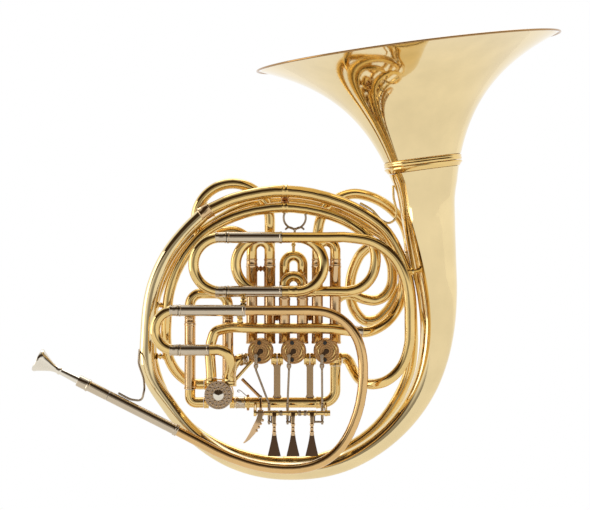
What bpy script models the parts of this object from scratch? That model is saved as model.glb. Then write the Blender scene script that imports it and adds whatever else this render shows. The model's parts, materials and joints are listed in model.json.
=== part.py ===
"""Double french horn, built from its separate pieces. Metres, +Z up, the player's side facing -Y.

The origin is on the middle valve's axis. Tubing lies in layers of depth one LAYER apart: layer 0 holds
the bell and the main coil, layers -1 to -3 lie in front of it and layers 1 and 2 behind it.
"""
import math

import bmesh
import bpy
from mathutils import Vector

TUBE_R = 0.0054
SLEEVE_R = 0.0057
SLEEVE_WALL = 0.0005
LEG_R = 0.0048
GAP = 0.0003
LAYER = 0.0140
LEADPIPE_R = 0.0050
COIL_R = 0.0066

VALVE_PITCH = 0.0333
VALVE_R = 0.0129
VALVE_WALL = 0.0019
VALVE_FRONT = -0.0085
VALVE_BACK = 0.0225
SLIDE_OFFSET = 0.0091
PLATE_T = 0.0025
STUB_Z = -0.0080
LINK_END = (-0.0489, -0.0044, -0.0080)

CHANGE_X = -0.0753
CHANGE_Z = -0.0433
CHANGE_R = 0.0142
CHANGE_FRONT = -0.0345

BELL_R = 0.155
BELL_WALL = 0.0009
BELL_LENGTH = 0.1095
BELL_FLARE = 0.1117
BELL_TILT = math.radians(7.4)
RING_CENTRE = (0.1316, 0.0, 0.1895)
RING_R = 0.0398
RING_BORE = 0.0345
RING_H = 0.0055

MOUTHPIECE_R = 0.0120
MOUTHPIECE_L = 0.0660
LEADPIPE_SLOPE = math.radians(26.9)
RECEIVER_END = (-0.2160, -0.0280)
RECEIVER_L = 0.0340

MAIN_UPPER_Z = 0.0418
MAIN_LOWER_Z = 0.0022
MAIN_CROOK_X = -0.1190
MAIN_SLEEVE_X = -0.1154
MAIN_UPPER_END = -0.0486
MAIN_LOWER_END = -0.0846
MAIN_TRAVEL = 0.025

F_UPPER_Z = 0.1150
F_LOWER_Z = 0.0607
F_CROOK_X = -0.0734
F_SLEEVE_X = -0.0674
F_SLEEVE_END = -0.0114
F_TRAVEL = 0.035
F_TURN_X = 0.0035
F_BACK_X = -0.0312

B_LEFT_X = -0.1050
B_RIGHT_X = -0.0667
B_TOP_Z = 0.0585
B_SLEEVE_Z = 0.0284
B_TRAVEL = 0.018

FRONT_TOP_Z = 0.1022
SLEEVE_TOP_Z = 0.0870
MIDDLE_FRONT_Z = 0.0667
MIDDLE_REAR_Z = 0.0875
MIDDLE_SLEEVE_FRONT_Z = 0.0540
MIDDLE_SLEEVE_REAR_Z = 0.0640
VALVE_TRAVEL = 0.012
MIDDLE_TRAVEL = 0.018
CROOK_TRAVEL = 0.022
BOW_TRAVEL = 0.012

STOP_ARM = 0.0065
ARM_Y = -0.0136
ARM_T = 0.0023
ROD_Y = -0.0175
AXLE_Y = -0.0400
AXLE_Z = -0.0610
AXLE_R = 0.0016
BARREL_R = 0.0032
PIN_Z = -0.0710
THUMB_ELBOW = (-0.0335, -0.0235, -0.0458)
THUMB_TIP = (-0.0520, -0.0220, -0.0274)
ARM_ANGLE = math.radians(225)
CONE_R = 0.0054
CONE_H = 0.0042

FRONT = -3 * LAYER
SECOND = -2 * LAYER
THIRD = -LAYER
REAR = LAYER
LAST = 2 * LAYER


def clear_scene():
    for item in list(bpy.data.objects):
        bpy.data.objects.remove(item, do_unlink=True)


def collection(name):
    made = bpy.data.collections.new(name)
    bpy.context.scene.collection.children.link(made)
    return made


def material(name, colour, roughness, metallic):
    made = bpy.data.materials.new(name)
    made.use_nodes = True
    shader = made.node_tree.nodes["Principled BSDF"]
    shader.inputs["Base Color"].default_value = (*colour, 1.0)
    shader.inputs["Roughness"].default_value = roughness
    shader.inputs["Metallic"].default_value = metallic
    return made


def spline_path(points, turn=0.25, reach=0.045):
    """Smooth curve through the points, keeping a point at each turn of the given angle."""
    knots = [Vector(p) for p in points]
    runs = [after - here for here, after in zip(knots, knots[1:])]
    aims = [runs[0].normalized()]
    for before, after in zip(runs, runs[1:]):
        aims.append((before.normalized() * after.length + after.normalized() * before.length).normalized())
    aims.append(runs[-1].normalized())
    dense = []
    for i, run in enumerate(runs):
        steps = 12
        out = aims[i] * run.length
        into = aims[i + 1] * run.length
        for step in range(steps):
            t = step / steps
            dense.append(knots[i] * (2 * t ** 3 - 3 * t ** 2 + 1) + out * (t ** 3 - 2 * t ** 2 + t)
                         + knots[i + 1] * (3 * t ** 2 - 2 * t ** 3) + into * (t ** 3 - t ** 2))
    dense.append(knots[-1])
    heading = (knots[1] - knots[0]).normalized()
    square = 0.0025
    kept = [dense[0], dense[0] + heading * square]
    for here, after in zip(dense[1:], dense[2:]):
        if (here - dense[0]).length < 2 * square:
            continue
        now = (after - here).normalized()
        if heading.angle(now) > turn or (here - kept[-1]).length > reach:
            kept.append(here)
            heading = now
    while (dense[-1] - kept[-1]).length < 2 * square and len(kept) > 2:
        kept.pop()
    return kept + [dense[-1] + (knots[-2] - knots[-1]).normalized() * square, dense[-1]]


def bent_path(corners, radius, steps=5):
    """Straight runs between corners, each inner corner rounded to the bend radius."""
    points = [Vector(c) for c in corners]
    path = [points[0]]
    for before, corner, after in zip(points, points[1:], points[2:]):
        back = (before - corner).normalized()
        on = (after - corner).normalized()
        half = back.angle(on) / 2
        reach = min(radius / math.tan(half), 0.49 * (before - corner).length,
                    0.49 * (after - corner).length)
        size = reach * math.tan(half)
        centre = corner + (back + on).normalized() * (size / math.sin(half))
        start = corner + back * reach - centre
        finish = corner + on * reach - centre
        sweep = start.angle(finish)
        for step in range(steps + 1):
            part = step / steps
            arm = (start * math.sin((1 - part) * sweep) + finish * math.sin(part * sweep)) / math.sin(sweep)
            path.append(centre + arm)
    return path + [points[-1]]


def arc(centre, radius, start, end, depth, end_depth=None, steps=8):
    """Points of an arc in the XZ plane, angles in degrees from +X, depth running to end_depth."""
    far = depth if end_depth is None else end_depth
    points = []
    for step in range(steps + 1):
        part = step / steps
        angle = math.radians(start + (end - start) * part)
        points.append(Vector((centre[0] + radius * math.cos(angle), depth + (far - depth) * part,
                              centre[1] + radius * math.sin(angle))))
    return points


def trimmed(path, start=0.0, end=0.0):
    """The path shortened at its ends along its first and last runs."""
    points = [Vector(p) for p in path]
    points[0] = points[0] + (points[1] - points[0]).normalized() * start
    points[-1] = points[-1] + (points[-2] - points[-1]).normalized() * end
    return points


def curve_tube(name, path, radius, finish, home, radii=None, fineness=2):
    data = bpy.data.curves.new(name, "CURVE")
    data.dimensions = "3D"
    data.resolution_u = 1
    data.bevel_depth = radius
    data.bevel_resolution = fineness
    data.use_fill_caps = True
    line = data.splines.new("POLY")
    line.points.add(len(path) - 1)
    for i, point in enumerate(path):
        line.points[i].co = (*point, 1.0)
        line.points[i].radius = radii[i] / radius if radii else 1.0
    data.materials.append(finish)
    made = bpy.data.objects.new(name, data)
    home.objects.link(made)
    return made


def as_mesh(item, home):
    """The object's evaluated shape as a welded mesh object of the same name."""
    bpy.context.view_layer.update()
    name = item.name
    graph = bpy.context.evaluated_depsgraph_get()
    mesh = bpy.data.meshes.new_from_object(item.evaluated_get(graph))
    matrix = item.matrix_world.copy()
    bpy.data.objects.remove(item, do_unlink=True)
    work = bmesh.new()
    work.from_mesh(mesh)
    bmesh.ops.remove_doubles(work, verts=work.verts, dist=0.00001)
    work.to_mesh(mesh)
    work.free()
    made = bpy.data.objects.new(name, mesh)
    made.matrix_world = matrix
    home.objects.link(made)
    return made


def turned(name, profile, place, direction, finish, home, steps=20, ring=False):
    """A turned piece: (radius, height) points spun about the direction through the place."""
    work = bmesh.new()
    rows = []
    for radius, height in profile:
        if radius == 0.0:
            rows.append([work.verts.new((0.0, 0.0, height))])
            continue
        row = []
        for k in range(steps):
            angle = math.tau * k / steps
            row.append(work.verts.new((radius * math.cos(angle), radius * math.sin(angle), height)))
        rows.append(row)
    pairs = list(zip(rows, rows[1:]))
    if ring:
        pairs.append((rows[-1], rows[0]))
    for upper, lower in pairs:
        for k in range(steps):
            after = (k + 1) % steps
            if len(upper) == 1:
                work.faces.new((upper[0], lower[k], lower[after]))
            elif len(lower) == 1:
                work.faces.new((upper[k], lower[0], upper[after]))
            else:
                work.faces.new((upper[k], lower[k], lower[after], upper[after]))
    bmesh.ops.recalc_face_normals(work, faces=work.faces)
    for face in work.faces:
        face.smooth = True
    mesh = bpy.data.meshes.new(name)
    work.to_mesh(mesh)
    work.free()
    mesh.materials.append(finish)
    made = bpy.data.objects.new(name, mesh)
    made.location = place
    made.rotation_mode = "QUATERNION"
    made.rotation_quaternion = Vector((0, 0, 1)).rotation_difference(Vector(direction))
    home.objects.link(made)
    return made


def rod(name, start, end, radius, finish, home, steps=12):
    start = Vector(start)
    length = (Vector(end) - start).length
    profile = [(0.0, length), (radius, length), (radius, 0.0), (0.0, 0.0)]
    return turned(name, profile, start, Vector(end) - start, finish, home, steps)


def pipe(name, start, end, radius, bore, finish, home, steps=12):
    start = Vector(start)
    length = (Vector(end) - start).length
    profile = [(bore, length), (radius, length), (radius, 0.0), (bore, 0.0)]
    return turned(name, profile, start, Vector(end) - start, finish, home, steps, ring=True)


def combine(base, others, operation, cutters):
    """Boolean modifiers on the base with each other object as operand."""
    for other in others:
        step = base.modifiers.new(other.name, "BOOLEAN")
        step.operation = operation
        step.solver = "EXACT"
        step.object = other
        other.hide_render = True
        other.display_type = "WIRE"
        for group in list(other.users_collection):
            group.objects.unlink(other)
        cutters.objects.link(other)


def strip(name, stations, thickness, finish, home):
    """A flat bar lofted through (x, y, z, half width) stations, wide along X."""
    work = bmesh.new()
    rows = []
    for i, (x, y, z, half) in enumerate(stations):
        before = stations[max(i - 1, 0)]
        after = stations[min(i + 1, len(stations) - 1)]
        run = Vector((0, after[1] - before[1], after[2] - before[2])).normalized()
        out = Vector((0, -run.z, run.y)) * (thickness / 2)
        corners = [(-half, 1), (half, 1), (half, -1), (-half, -1)]
        rows.append([work.verts.new(Vector((x + side, y, z)) + out * face) for side, face in corners])
    for lower, upper in zip(rows, rows[1:]):
        for k in range(4):
            work.faces.new((lower[k], lower[(k + 1) % 4], upper[(k + 1) % 4], upper[k]))
    work.faces.new(rows[0][::-1])
    work.faces.new(rows[-1])
    bmesh.ops.recalc_face_normals(work, faces=work.faces)
    mesh = bpy.data.meshes.new(name)
    work.to_mesh(mesh)
    work.free()
    mesh.materials.append(finish)
    made = bpy.data.objects.new(name, mesh)
    home.objects.link(made)
    return made


def bell_axis():
    return Vector((-math.sin(BELL_TILT), 0.0, math.cos(BELL_TILT)))


def flare_radius(depth):
    return BELL_R * (1 + depth / BELL_FLARE) ** -2


def bell(m, home):
    axis = bell_axis()
    base = Vector(RING_CENTRE) + axis * (RING_H + 2 * GAP)
    outer = []
    inner = []
    rows = 14
    for i in range(rows + 1):
        depth = BELL_LENGTH * (i / rows) ** 1.5
        outer.append((flare_radius(depth), BELL_LENGTH - depth))
        inner.append((flare_radius(depth + BELL_WALL) - BELL_WALL, BELL_LENGTH - depth))
    outer[0] = (BELL_R, BELL_LENGTH - BELL_WALL)
    bead = [(BELL_R - BELL_WALL, BELL_LENGTH + BELL_WALL), (BELL_R + BELL_WALL, BELL_LENGTH + BELL_WALL)]
    profile = bead + outer + inner[::-1]
    turned("bell_flare", profile, base, axis, m["brass"], home, 48, ring=True)
    for name, drop in (("bell_ring", GAP), ("throat_ring", -RING_H - GAP)):
        profile = [(RING_BORE, RING_H), (RING_R - 0.001, RING_H), (RING_R, RING_H * 0.7),
                   (RING_R, RING_H * 0.3), (RING_R - 0.001, 0.0), (RING_BORE, 0.0)]
        turned(name, profile, Vector(RING_CENTRE) + axis * drop, axis, m["brass"], home, 40, ring=True)


THROAT = [
    (-0.0898, 0.1401, 0.0073), (-0.1076, 0.1228, 0.0074), (-0.1260, 0.0995, 0.0075),
    (-0.1404, 0.0688, 0.0076), (-0.1476, 0.0213, 0.0077), (-0.1454, -0.0241, 0.0078),
    (-0.1269, -0.0542, 0.0080), (-0.1071, -0.0792, 0.0081), (-0.0868, -0.0964, 0.0082),
    (-0.0632, -0.1102, 0.0083), (-0.0320, -0.1198, 0.0085), (-0.0015, -0.1221, 0.0088),
    (0.0456, -0.1147, 0.0096), (0.0888, -0.0910, 0.0105), (0.1127, -0.0676, 0.0115),
    (0.1324, -0.0362, 0.0130), (0.1421, -0.0056, 0.0154), (0.1462, 0.0264, 0.0176),
    (0.1457, 0.0568, 0.0203), (0.1421, 0.0924, 0.0232), (0.1370, 0.1279, 0.0275),
    (0.1353, 0.1605, 0.0322),
]


def throat(m, home):
    top = Vector(RING_CENTRE) - bell_axis() * (RING_H + 3 * GAP)
    neck = 0.0120
    end_size = flare_radius(BELL_LENGTH + 2 * RING_H)
    points = [(x, 0.0, z) for x, z, r in THROAT] + [top - bell_axis() * neck, top]
    sizes = [r for x, z, r in THROAT] + [flare_radius(BELL_LENGTH + 2 * RING_H + neck), end_size]
    path = spline_path(points)
    radii = []
    for spot in path:
        nearest = sorted(range(len(points)), key=lambda i: (Vector(points[i]) - spot).length)[:2]
        a, b = nearest
        da = (Vector(points[a]) - spot).length
        db = (Vector(points[b]) - spot).length
        radii.append((sizes[a] * db + sizes[b] * da) / (da + db))
    tube = curve_tube("bell_throat", path, 0.02, m["brass"], home, radii, 6)
    tube.data.use_fill_caps = False
    made = as_mesh(tube, home)
    wall = made.modifiers.new("wall", "SOLIDIFY")
    wall.thickness = BELL_WALL
    wall.offset = -1.0
    return made


def coil(m, home):
    start = (-0.0036, LAST, -0.1145)
    route = [start, (0.0040, LAST, -0.1145), (0.0472, LAST, -0.1040), (0.0827, LAST, -0.0810), (0.1065, LAST, -0.0497),
             (0.1190, LAST, -0.0193), (0.1215, 0.0220, 0.0061), (0.1203, 0.0080, 0.0320),
             (0.1188, 0.0010, 0.0520), (0.1155, 0.0, 0.0730), (0.1072, 0.0, 0.0974), (0.0929, 0.0, 0.1218), (0.0776, 0.0, 0.1350),
             (0.0573, 0.0, 0.1467), (0.0370, 0.0, 0.1543), (0.0066, 0.0, 0.1609), (-0.0160, 0.0, 0.1619),
             (-0.0400, 0.0, 0.1590), (-0.0640, 0.0, 0.1527), (-0.0880, 0.0, 0.1415)]
    path = trimmed(spline_path(route), end=0.001)
    radii = [TUBE_R + (COIL_R - TUBE_R) * i / (len(path) - 1) for i in range(len(path))]
    curve_tube("outer_coil", path, COIL_R, m["brass"], home, radii)
    branch = [(CHANGE_X - 0.0076, THIRD, CHANGE_Z + 0.0164), (CHANGE_X - 0.0076, THIRD, 0.0100),
              (-0.0790, THIRD, 0.0195), (-0.0690, THIRD, 0.0232), (-0.0400, THIRD, 0.0232),
              (0.0000, THIRD, 0.0232), (0.0400, THIRD, 0.0228), (0.0590, THIRD, 0.0205),
              (0.0740, -0.0080, 0.0195), (0.0880, 0.0020, 0.0245), (0.1000, 0.0110, 0.0345),
              (0.1090, 0.0145, 0.0500), (0.1122, 0.0140, 0.0689), (0.1110, 0.0130, 0.0842),
              (0.1030, 0.0128, 0.1030), (0.0922, 0.0130, 0.1168), (0.0780, 0.0170, 0.1250),
              (0.0629, 0.0230, 0.1345), (0.0486, LAST, 0.1415), (0.0271, LAST, 0.1497),
              (0.0066, LAST, 0.1535), (-0.0138, LAST, 0.1545), (-0.0323, LAST, 0.1517),
              (-0.0548, LAST, 0.1445), (-0.0732, LAST, 0.1353), (-0.0957, LAST, 0.1200),
              (-0.1162, LAST, 0.1005), (-0.1316, LAST, 0.0770), (-0.1418, LAST, 0.0514),
              (-0.1454, LAST, 0.0206), (-0.1449, LAST, -0.0049), (-0.1387, LAST, -0.0305),
              (-0.1244, LAST, -0.0582), (-0.1060, LAST, -0.0787), (-0.0804, LAST, -0.0961),
              (-0.0497, LAST, -0.1084), (-0.0241, LAST, -0.1135), (-0.0110, LAST, -0.1145), start]
    curve_tube("first_branch", trimmed(spline_path(branch), GAP, GAP), TUBE_R, m["brass"], home)


def leadpipe_line(x):
    """Centre of the straight leadpipe run at this X."""
    return (x, FRONT, RECEIVER_END[1] - (x - RECEIVER_END[0]) * math.tan(LEADPIPE_SLOPE))


def leadpipe(m, home):
    run = Vector((math.cos(LEADPIPE_SLOPE), 0.0, -math.sin(LEADPIPE_SLOPE)))
    mouth_end = Vector(leadpipe_line(RECEIVER_END[0]))
    pipe_start = mouth_end + run * RECEIVER_L
    route = [pipe_start, leadpipe_line(-0.150), leadpipe_line(-0.118), (-0.0936, FRONT, -0.0905),
             (-0.0736, FRONT, -0.1010), (-0.0536, FRONT, -0.1089), (-0.0335, FRONT, -0.1144),
             (-0.0135, FRONT, -0.1169), (0.0065, FRONT, -0.1164), (0.0216, FRONT, -0.1129),
             (0.0340, FRONT, -0.1069), (0.0450, FRONT, -0.0975), (0.0540, FRONT, -0.0850),
             (0.0610, FRONT, -0.0700), (0.0660, FRONT, -0.0540), (0.0688, FRONT, -0.0378),
             (0.0699, FRONT, -0.0178), (0.0682, FRONT, 0.0000), (0.0636, FRONT, 0.0143),
             (0.0561, FRONT, 0.0255), (0.0456, FRONT, 0.0345), (0.0330, FRONT, 0.0400),
             (0.0180, FRONT, MAIN_UPPER_Z), (0.0000, FRONT, MAIN_UPPER_Z),
             (MAIN_UPPER_END, FRONT, MAIN_UPPER_Z)]
    path = trimmed(spline_path(route), end=GAP)
    curve_tube("leadpipe", path, LEADPIPE_R, m["rose"], home)
    bore = 0.0036
    profile = [(bore, RECEIVER_L - GAP), (LEADPIPE_R, RECEIVER_L - GAP), (LEADPIPE_R + 0.0006, 0.0220),
               (LEADPIPE_R + 0.0006, 0.0100), (LEADPIPE_R + 0.0018, 0.0090), (LEADPIPE_R + 0.0018, 0.0060),
               (LEADPIPE_R + 0.0004, 0.0050), (LEADPIPE_R + 0.0004, 0.0), (bore + 0.0006, 0.0)]
    turned("mouthpiece_receiver", profile, mouth_end, run, m["nickel"], home, 16, ring=True)
    shank = 0.0200
    cup = MOUTHPIECE_L - shank
    profile = [(bore - 0.0005, shank), (bore, 0.0), (0.0045, -0.0080), (0.0052, -0.0200),
               (0.0070, -0.0270), (0.0078, -0.0275), (0.0095, -cup + 0.0100), (MOUTHPIECE_R, -cup + 0.0030),
               (MOUTHPIECE_R, -cup + 0.0008), (MOUTHPIECE_R - 0.0012, -cup), (MOUTHPIECE_R - 0.0032, -cup),
               (MOUTHPIECE_R - 0.0040, -cup + 0.0015), (0.0060, -cup + 0.0120), (0.0022, -0.0200),
               (0.0026, shank)]
    turned("mouthpiece", profile, mouth_end - run * GAP, run, m["silver"], home, 20, ring=True)


def slide_crook(name, legs, bow, finish, home):
    """A slide: thin inner legs at both ends of a bow of tube, legs as (start, end) points."""
    first, last = Vector(legs[0]), Vector(legs[1])
    neck = 0.0004
    bow = [Vector(p) for p in bow]
    start_step = bow[0] + (first - bow[0]).normalized() * neck
    end_step = bow[-1] + (last - bow[-1]).normalized() * neck
    path = [first, start_step] + bow + [end_step, last]
    radii = [LEG_R, LEG_R] + [TUBE_R] * len(bow) + [LEG_R, LEG_R]
    curve_tube(name, path, TUBE_R, finish, home, radii)


def sleeve(name, start, end, m, home):
    pipe(name, start, end, SLEEVE_R, SLEEVE_R - SLEEVE_WALL, m["nickel"], home)


def main_slide(m, home):
    radius = (MAIN_UPPER_Z - MAIN_LOWER_Z) / 2
    middle = (MAIN_UPPER_Z + MAIN_LOWER_Z) / 2
    bow = arc((MAIN_CROOK_X, middle), radius, 90, 270, FRONT, steps=10)
    inside = MAIN_SLEEVE_X + MAIN_TRAVEL + 0.005
    slide_crook("main_tuning_slide", [(inside, FRONT, MAIN_UPPER_Z), (inside, FRONT, MAIN_LOWER_Z)],
                bow, m["brass"], home)
    sleeve("main_sleeve_upper", (MAIN_SLEEVE_X, FRONT, MAIN_UPPER_Z), (MAIN_UPPER_END, FRONT, MAIN_UPPER_Z),
           m, home)
    sleeve("main_sleeve_lower", (MAIN_SLEEVE_X, FRONT, MAIN_LOWER_Z), (MAIN_LOWER_END, FRONT, MAIN_LOWER_Z),
           m, home)
    elbow = [(MAIN_LOWER_END, FRONT, MAIN_LOWER_Z), (-0.0740, FRONT, MAIN_LOWER_Z),
             (-0.0665, FRONT, -0.0015), (-0.0630, -0.0400, -0.0090), (-0.0630, -0.0345, -0.0165),
             (CHANGE_X + 0.0106, -0.0295, -0.0230), (CHANGE_X + 0.0108, SECOND, -0.0268),
             (CHANGE_X + 0.0108, SECOND, CHANGE_Z + 0.0135)]
    curve_tube("main_slide_elbow", trimmed(spline_path(elbow), GAP, GAP), TUBE_R, m["brass"], home)


def f_side(m, home):
    radius = (F_UPPER_Z - F_LOWER_Z) / 2
    middle = (F_UPPER_Z + F_LOWER_Z) / 2
    inside = F_SLEEVE_X + F_TRAVEL + 0.008
    slide_crook("f_main_slide", [(inside, SECOND, F_UPPER_Z), (inside, SECOND, F_LOWER_Z)],
                arc((F_CROOK_X, middle), radius, 90, 270, SECOND, steps=10), m["brass"], home)
    for name, z in (("f_sleeve_upper", F_UPPER_Z), ("f_sleeve_lower", F_LOWER_Z)):
        sleeve(name, (F_SLEEVE_X, SECOND, z), (F_SLEEVE_END, SECOND, z), m, home)
    supply = [(F_SLEEVE_END, SECOND, F_UPPER_Z), (0.0300, SECOND, F_UPPER_Z), (0.0560, SECOND, F_UPPER_Z),
              (0.0820, SECOND, 0.1095), (0.1015, SECOND, 0.0944), (0.1122, SECOND, 0.0740),
              (0.1162, SECOND, 0.0522), (0.1170, SECOND, 0.0280), (0.1162, SECOND, 0.0069),
              (0.1085, SECOND, -0.0150), (0.0935, SECOND, -0.0290), (0.0790, -0.0200, -0.0329),
              (0.0665, -0.0030, -0.0280), (0.0600, 0.0090, -0.0180), (0.0560, 0.0130, -0.0105),
              (0.0530, REAR, STUB_Z), (VALVE_PITCH + VALVE_R + 0.0030, REAR, STUB_Z)]
    curve_tube("f_supply_tube", trimmed(spline_path(supply), GAP, GAP), TUBE_R, m["brass"], home)
    bow = [Vector((F_SLEEVE_END, SECOND, F_LOWER_Z))]
    bow += arc((F_TURN_X, middle), radius, -90, 90, SECOND, THIRD, 10)
    bow += arc((F_BACK_X, middle), radius, 90, 270, THIRD, steps=10)
    bow += [Vector((0.0180, THIRD, F_LOWER_Z))]
    curve_tube("f_return_bow", trimmed(bow, GAP, GAP), TUBE_R, m["brass"], home)
    inner = [(0.0180, THIRD, F_LOWER_Z), (0.0400, THIRD, F_LOWER_Z), (0.0560, THIRD, 0.0608),
             (0.0680, -0.0135, 0.0645), (0.0773, -0.0130, 0.0730), (0.0829, -0.0120, 0.0903),
             (0.0803, -0.0095, 0.1075), (0.0692, -0.0050, 0.1210), (0.0573, 0.0, 0.1292),
             (0.0370, 0.0, 0.1380), (0.0117, 0.0, 0.1441), (-0.0086, 0.0, 0.1457), (-0.0289, 0.0, 0.1441),
             (-0.0492, 0.0, 0.1401), (-0.0726, 0.0, 0.1309), (-0.0898, 0.0, 0.1198),
             (-0.1051, 0.0, 0.1035), (-0.1172, 0.0, 0.0842), (-0.1254, 0.0, 0.0619),
             (-0.1289, 0.0, 0.0315), (-0.1289, 0.0030, 0.0061), (-0.1254, 0.0090, -0.0112),
             (-0.1165, 0.0130, -0.0245), (-0.1050, REAR, -0.0325), (-0.0980, REAR, CHANGE_Z + 0.0090),
             (CHANGE_X - 0.0157, REAR, CHANGE_Z + 0.0090)]
    curve_tube("f_inner_coil", trimmed(spline_path(inner), GAP, GAP), TUBE_R, m["brass"], home)


def b_flat_side(m, home):
    turn = 0.0120
    inside = B_SLEEVE_Z - B_TRAVEL - 0.008
    top = B_TOP_Z
    bow = arc((B_LEFT_X + turn, top - turn), turn, 180, 90, 0.0, steps=5)
    bow += arc((B_RIGHT_X - turn, top - turn), turn, 90, 0, 0.0, steps=5)
    slide_crook("thumb_valve_slide", [(B_LEFT_X, 0.0, inside), (B_RIGHT_X, 0.0, inside)], bow,
                m["brass"], home)
    sleeve("thumb_slide_sleeve_right", (B_RIGHT_X, 0.0, CHANGE_Z + 0.0160), (B_RIGHT_X, 0.0, B_SLEEVE_Z),
           m, home)
    sleeve("thumb_slide_sleeve_left", (B_LEFT_X, 0.0, -0.0390), (B_LEFT_X, 0.0, B_SLEEVE_Z), m, home)
    port = CHANGE_Z - 0.0090
    elbow = bent_path([(B_LEFT_X, 0.0, -0.0390), (B_LEFT_X, 0.0, port), (CHANGE_X - 0.0157, 0.0, port)], 0.0100)
    curve_tube("thumb_slide_elbow", trimmed(elbow, GAP, GAP), TUBE_R, m["brass"], home)
    bottom = bent_path([(CHANGE_X + 0.0157, 0.0, port), (VALVE_PITCH + SLIDE_OFFSET, 0.0, port),
                        (VALVE_PITCH + SLIDE_OFFSET, 0.0, -0.0150)], 0.0130)
    curve_tube("bottom_tube", trimmed(bottom, GAP, GAP), TUBE_R, m["brass"], home)
    lead = (Vector(LINK_END) - Vector((-VALVE_PITCH - 0.009, 0.0, STUB_Z))).normalized()
    link = [(CHANGE_X + 0.0118, THIRD, CHANGE_Z + 0.0135), (CHANGE_X + 0.0118, THIRD, -0.0250),
            (-0.0618, -0.0136, -0.0155), (-0.0572, -0.0108, -0.0095), Vector(LINK_END) + lead * 0.0040,
            LINK_END]
    curve_tube("valve_link_tube", trimmed(spline_path(link), GAP, GAP), TUBE_R, m["brass"], home)


def u_bow(x, top, depth):
    return arc((x, top), SLIDE_OFFSET, 180, 0, depth, steps=8)


def valve_slides(m, home):
    front = (("first_valve_slide_front", -VALVE_PITCH, FRONT_TOP_Z, SLEEVE_TOP_Z, VALVE_TRAVEL, 0.0),
             ("second_valve_slide_front", 0.0, MIDDLE_FRONT_Z, MIDDLE_SLEEVE_FRONT_Z, MIDDLE_TRAVEL, 0.0),
             ("second_valve_slide_rear", 0.0, MIDDLE_REAR_Z, MIDDLE_SLEEVE_REAR_Z, MIDDLE_TRAVEL, REAR),
             ("third_valve_slide_front", VALVE_PITCH, FRONT_TOP_Z, SLEEVE_TOP_Z, VALVE_TRAVEL, 0.0))
    for name, x, top, mouth, travel, depth in front:
        inside = mouth - travel - 0.008
        legs = [(x - SLIDE_OFFSET, depth, inside), (x + SLIDE_OFFSET, depth, inside)]
        slide_crook(name, legs, u_bow(x, top, depth), m["brass"], home)
    left = -VALVE_PITCH - SLIDE_OFFSET
    right = -VALVE_PITCH + SLIDE_OFFSET
    inside = SLEEVE_TOP_Z - CROOK_TRAVEL - 0.008
    radius = 0.0377
    wide = arc((right - radius, 0.1326), radius, 0, 180, REAR, steps=12)
    tail = spline_path([wide[-1], (right - 2 * radius, REAR, 0.1270), (-0.0950, REAR, 0.1185),
                        (-0.0870, REAR, 0.1172), (-0.0729, REAR, 0.1205), (-0.0600, REAR, 0.1215),
                        (-0.0490, REAR, 0.1160), (left - 0.0006, REAR, 0.1060), (left, REAR, 0.0960)])
    step = Vector((right, REAR, SLEEVE_TOP_Z + 0.0040))
    slide_crook("first_valve_slide_rear", [(right, REAR, inside), (left, REAR, inside)],
                [step] + wide + tail[1:], m["brass"], home)
    x = VALVE_PITCH - SLIDE_OFFSET
    inside = SLEEVE_TOP_Z - BOW_TRAVEL - 0.008
    far = (0.1189, LAST + 0.004, 0.0810)
    bow = spline_path([(x, REAR, SLEEVE_TOP_Z + 0.0040), (x, REAR, 0.1150), (0.0280, REAR, 0.1352),
                       (0.0372, 0.0160, 0.1495), (0.0485, 0.0200, 0.1567), (0.0598, 0.0230, 0.1598),
                       (0.0803, 0.0270, 0.1563), (0.0989, 0.0300, 0.1456), (0.1122, LAST + 0.004, 0.1302),
                       (0.1180, LAST + 0.004, 0.1120), (0.1189, LAST + 0.004, 0.1030)])
    slide_crook("third_valve_slide_rear", [(x, REAR, inside), far], bow, m["brass"], home)
    sleeve("third_bow_sleeve", (far[0], far[1], 0.0790), (far[0], far[1], 0.1000), m, home)
    loop = [(far[0], far[1], 0.0790), (far[0], far[1], 0.0755), (0.1155, 0.0315, 0.0685), (0.1100, 0.0310, 0.0640),
            (0.1050, 0.0310, 0.0544), (0.0958, 0.0310, 0.0400), (0.0845, 0.0310, 0.0308),
            (0.0735, 0.0310, 0.0300), (0.0635, 0.0300, 0.0395), (0.0585, 0.0290, 0.0534),
            (0.0580, 0.0280, 0.0677), (0.0619, 0.0260, 0.0852), (0.0710, 0.0225, 0.1010),
            (0.0815, 0.0205, 0.1075), (0.0925, 0.0208, 0.1030), (0.0990, 0.0210, 0.0923),
            (0.1012, 0.0210, 0.0791), (0.0988, 0.0208, 0.0637), (0.0918, 0.0200, 0.0545),
            (0.0832, 0.0200, 0.0510), (0.0720, 0.0180, 0.0525), (0.0600, 0.0160, 0.0570),
            (0.0500, REAR, 0.0565), (0.0440, REAR, 0.0520),
            (VALVE_PITCH + SLIDE_OFFSET, REAR, 0.0445), (VALVE_PITCH + SLIDE_OFFSET, REAR, 0.0400)]
    curve_tube("third_valve_loop", trimmed(spline_path(loop), GAP, GAP), TUBE_R, m["brass"], home)


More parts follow.
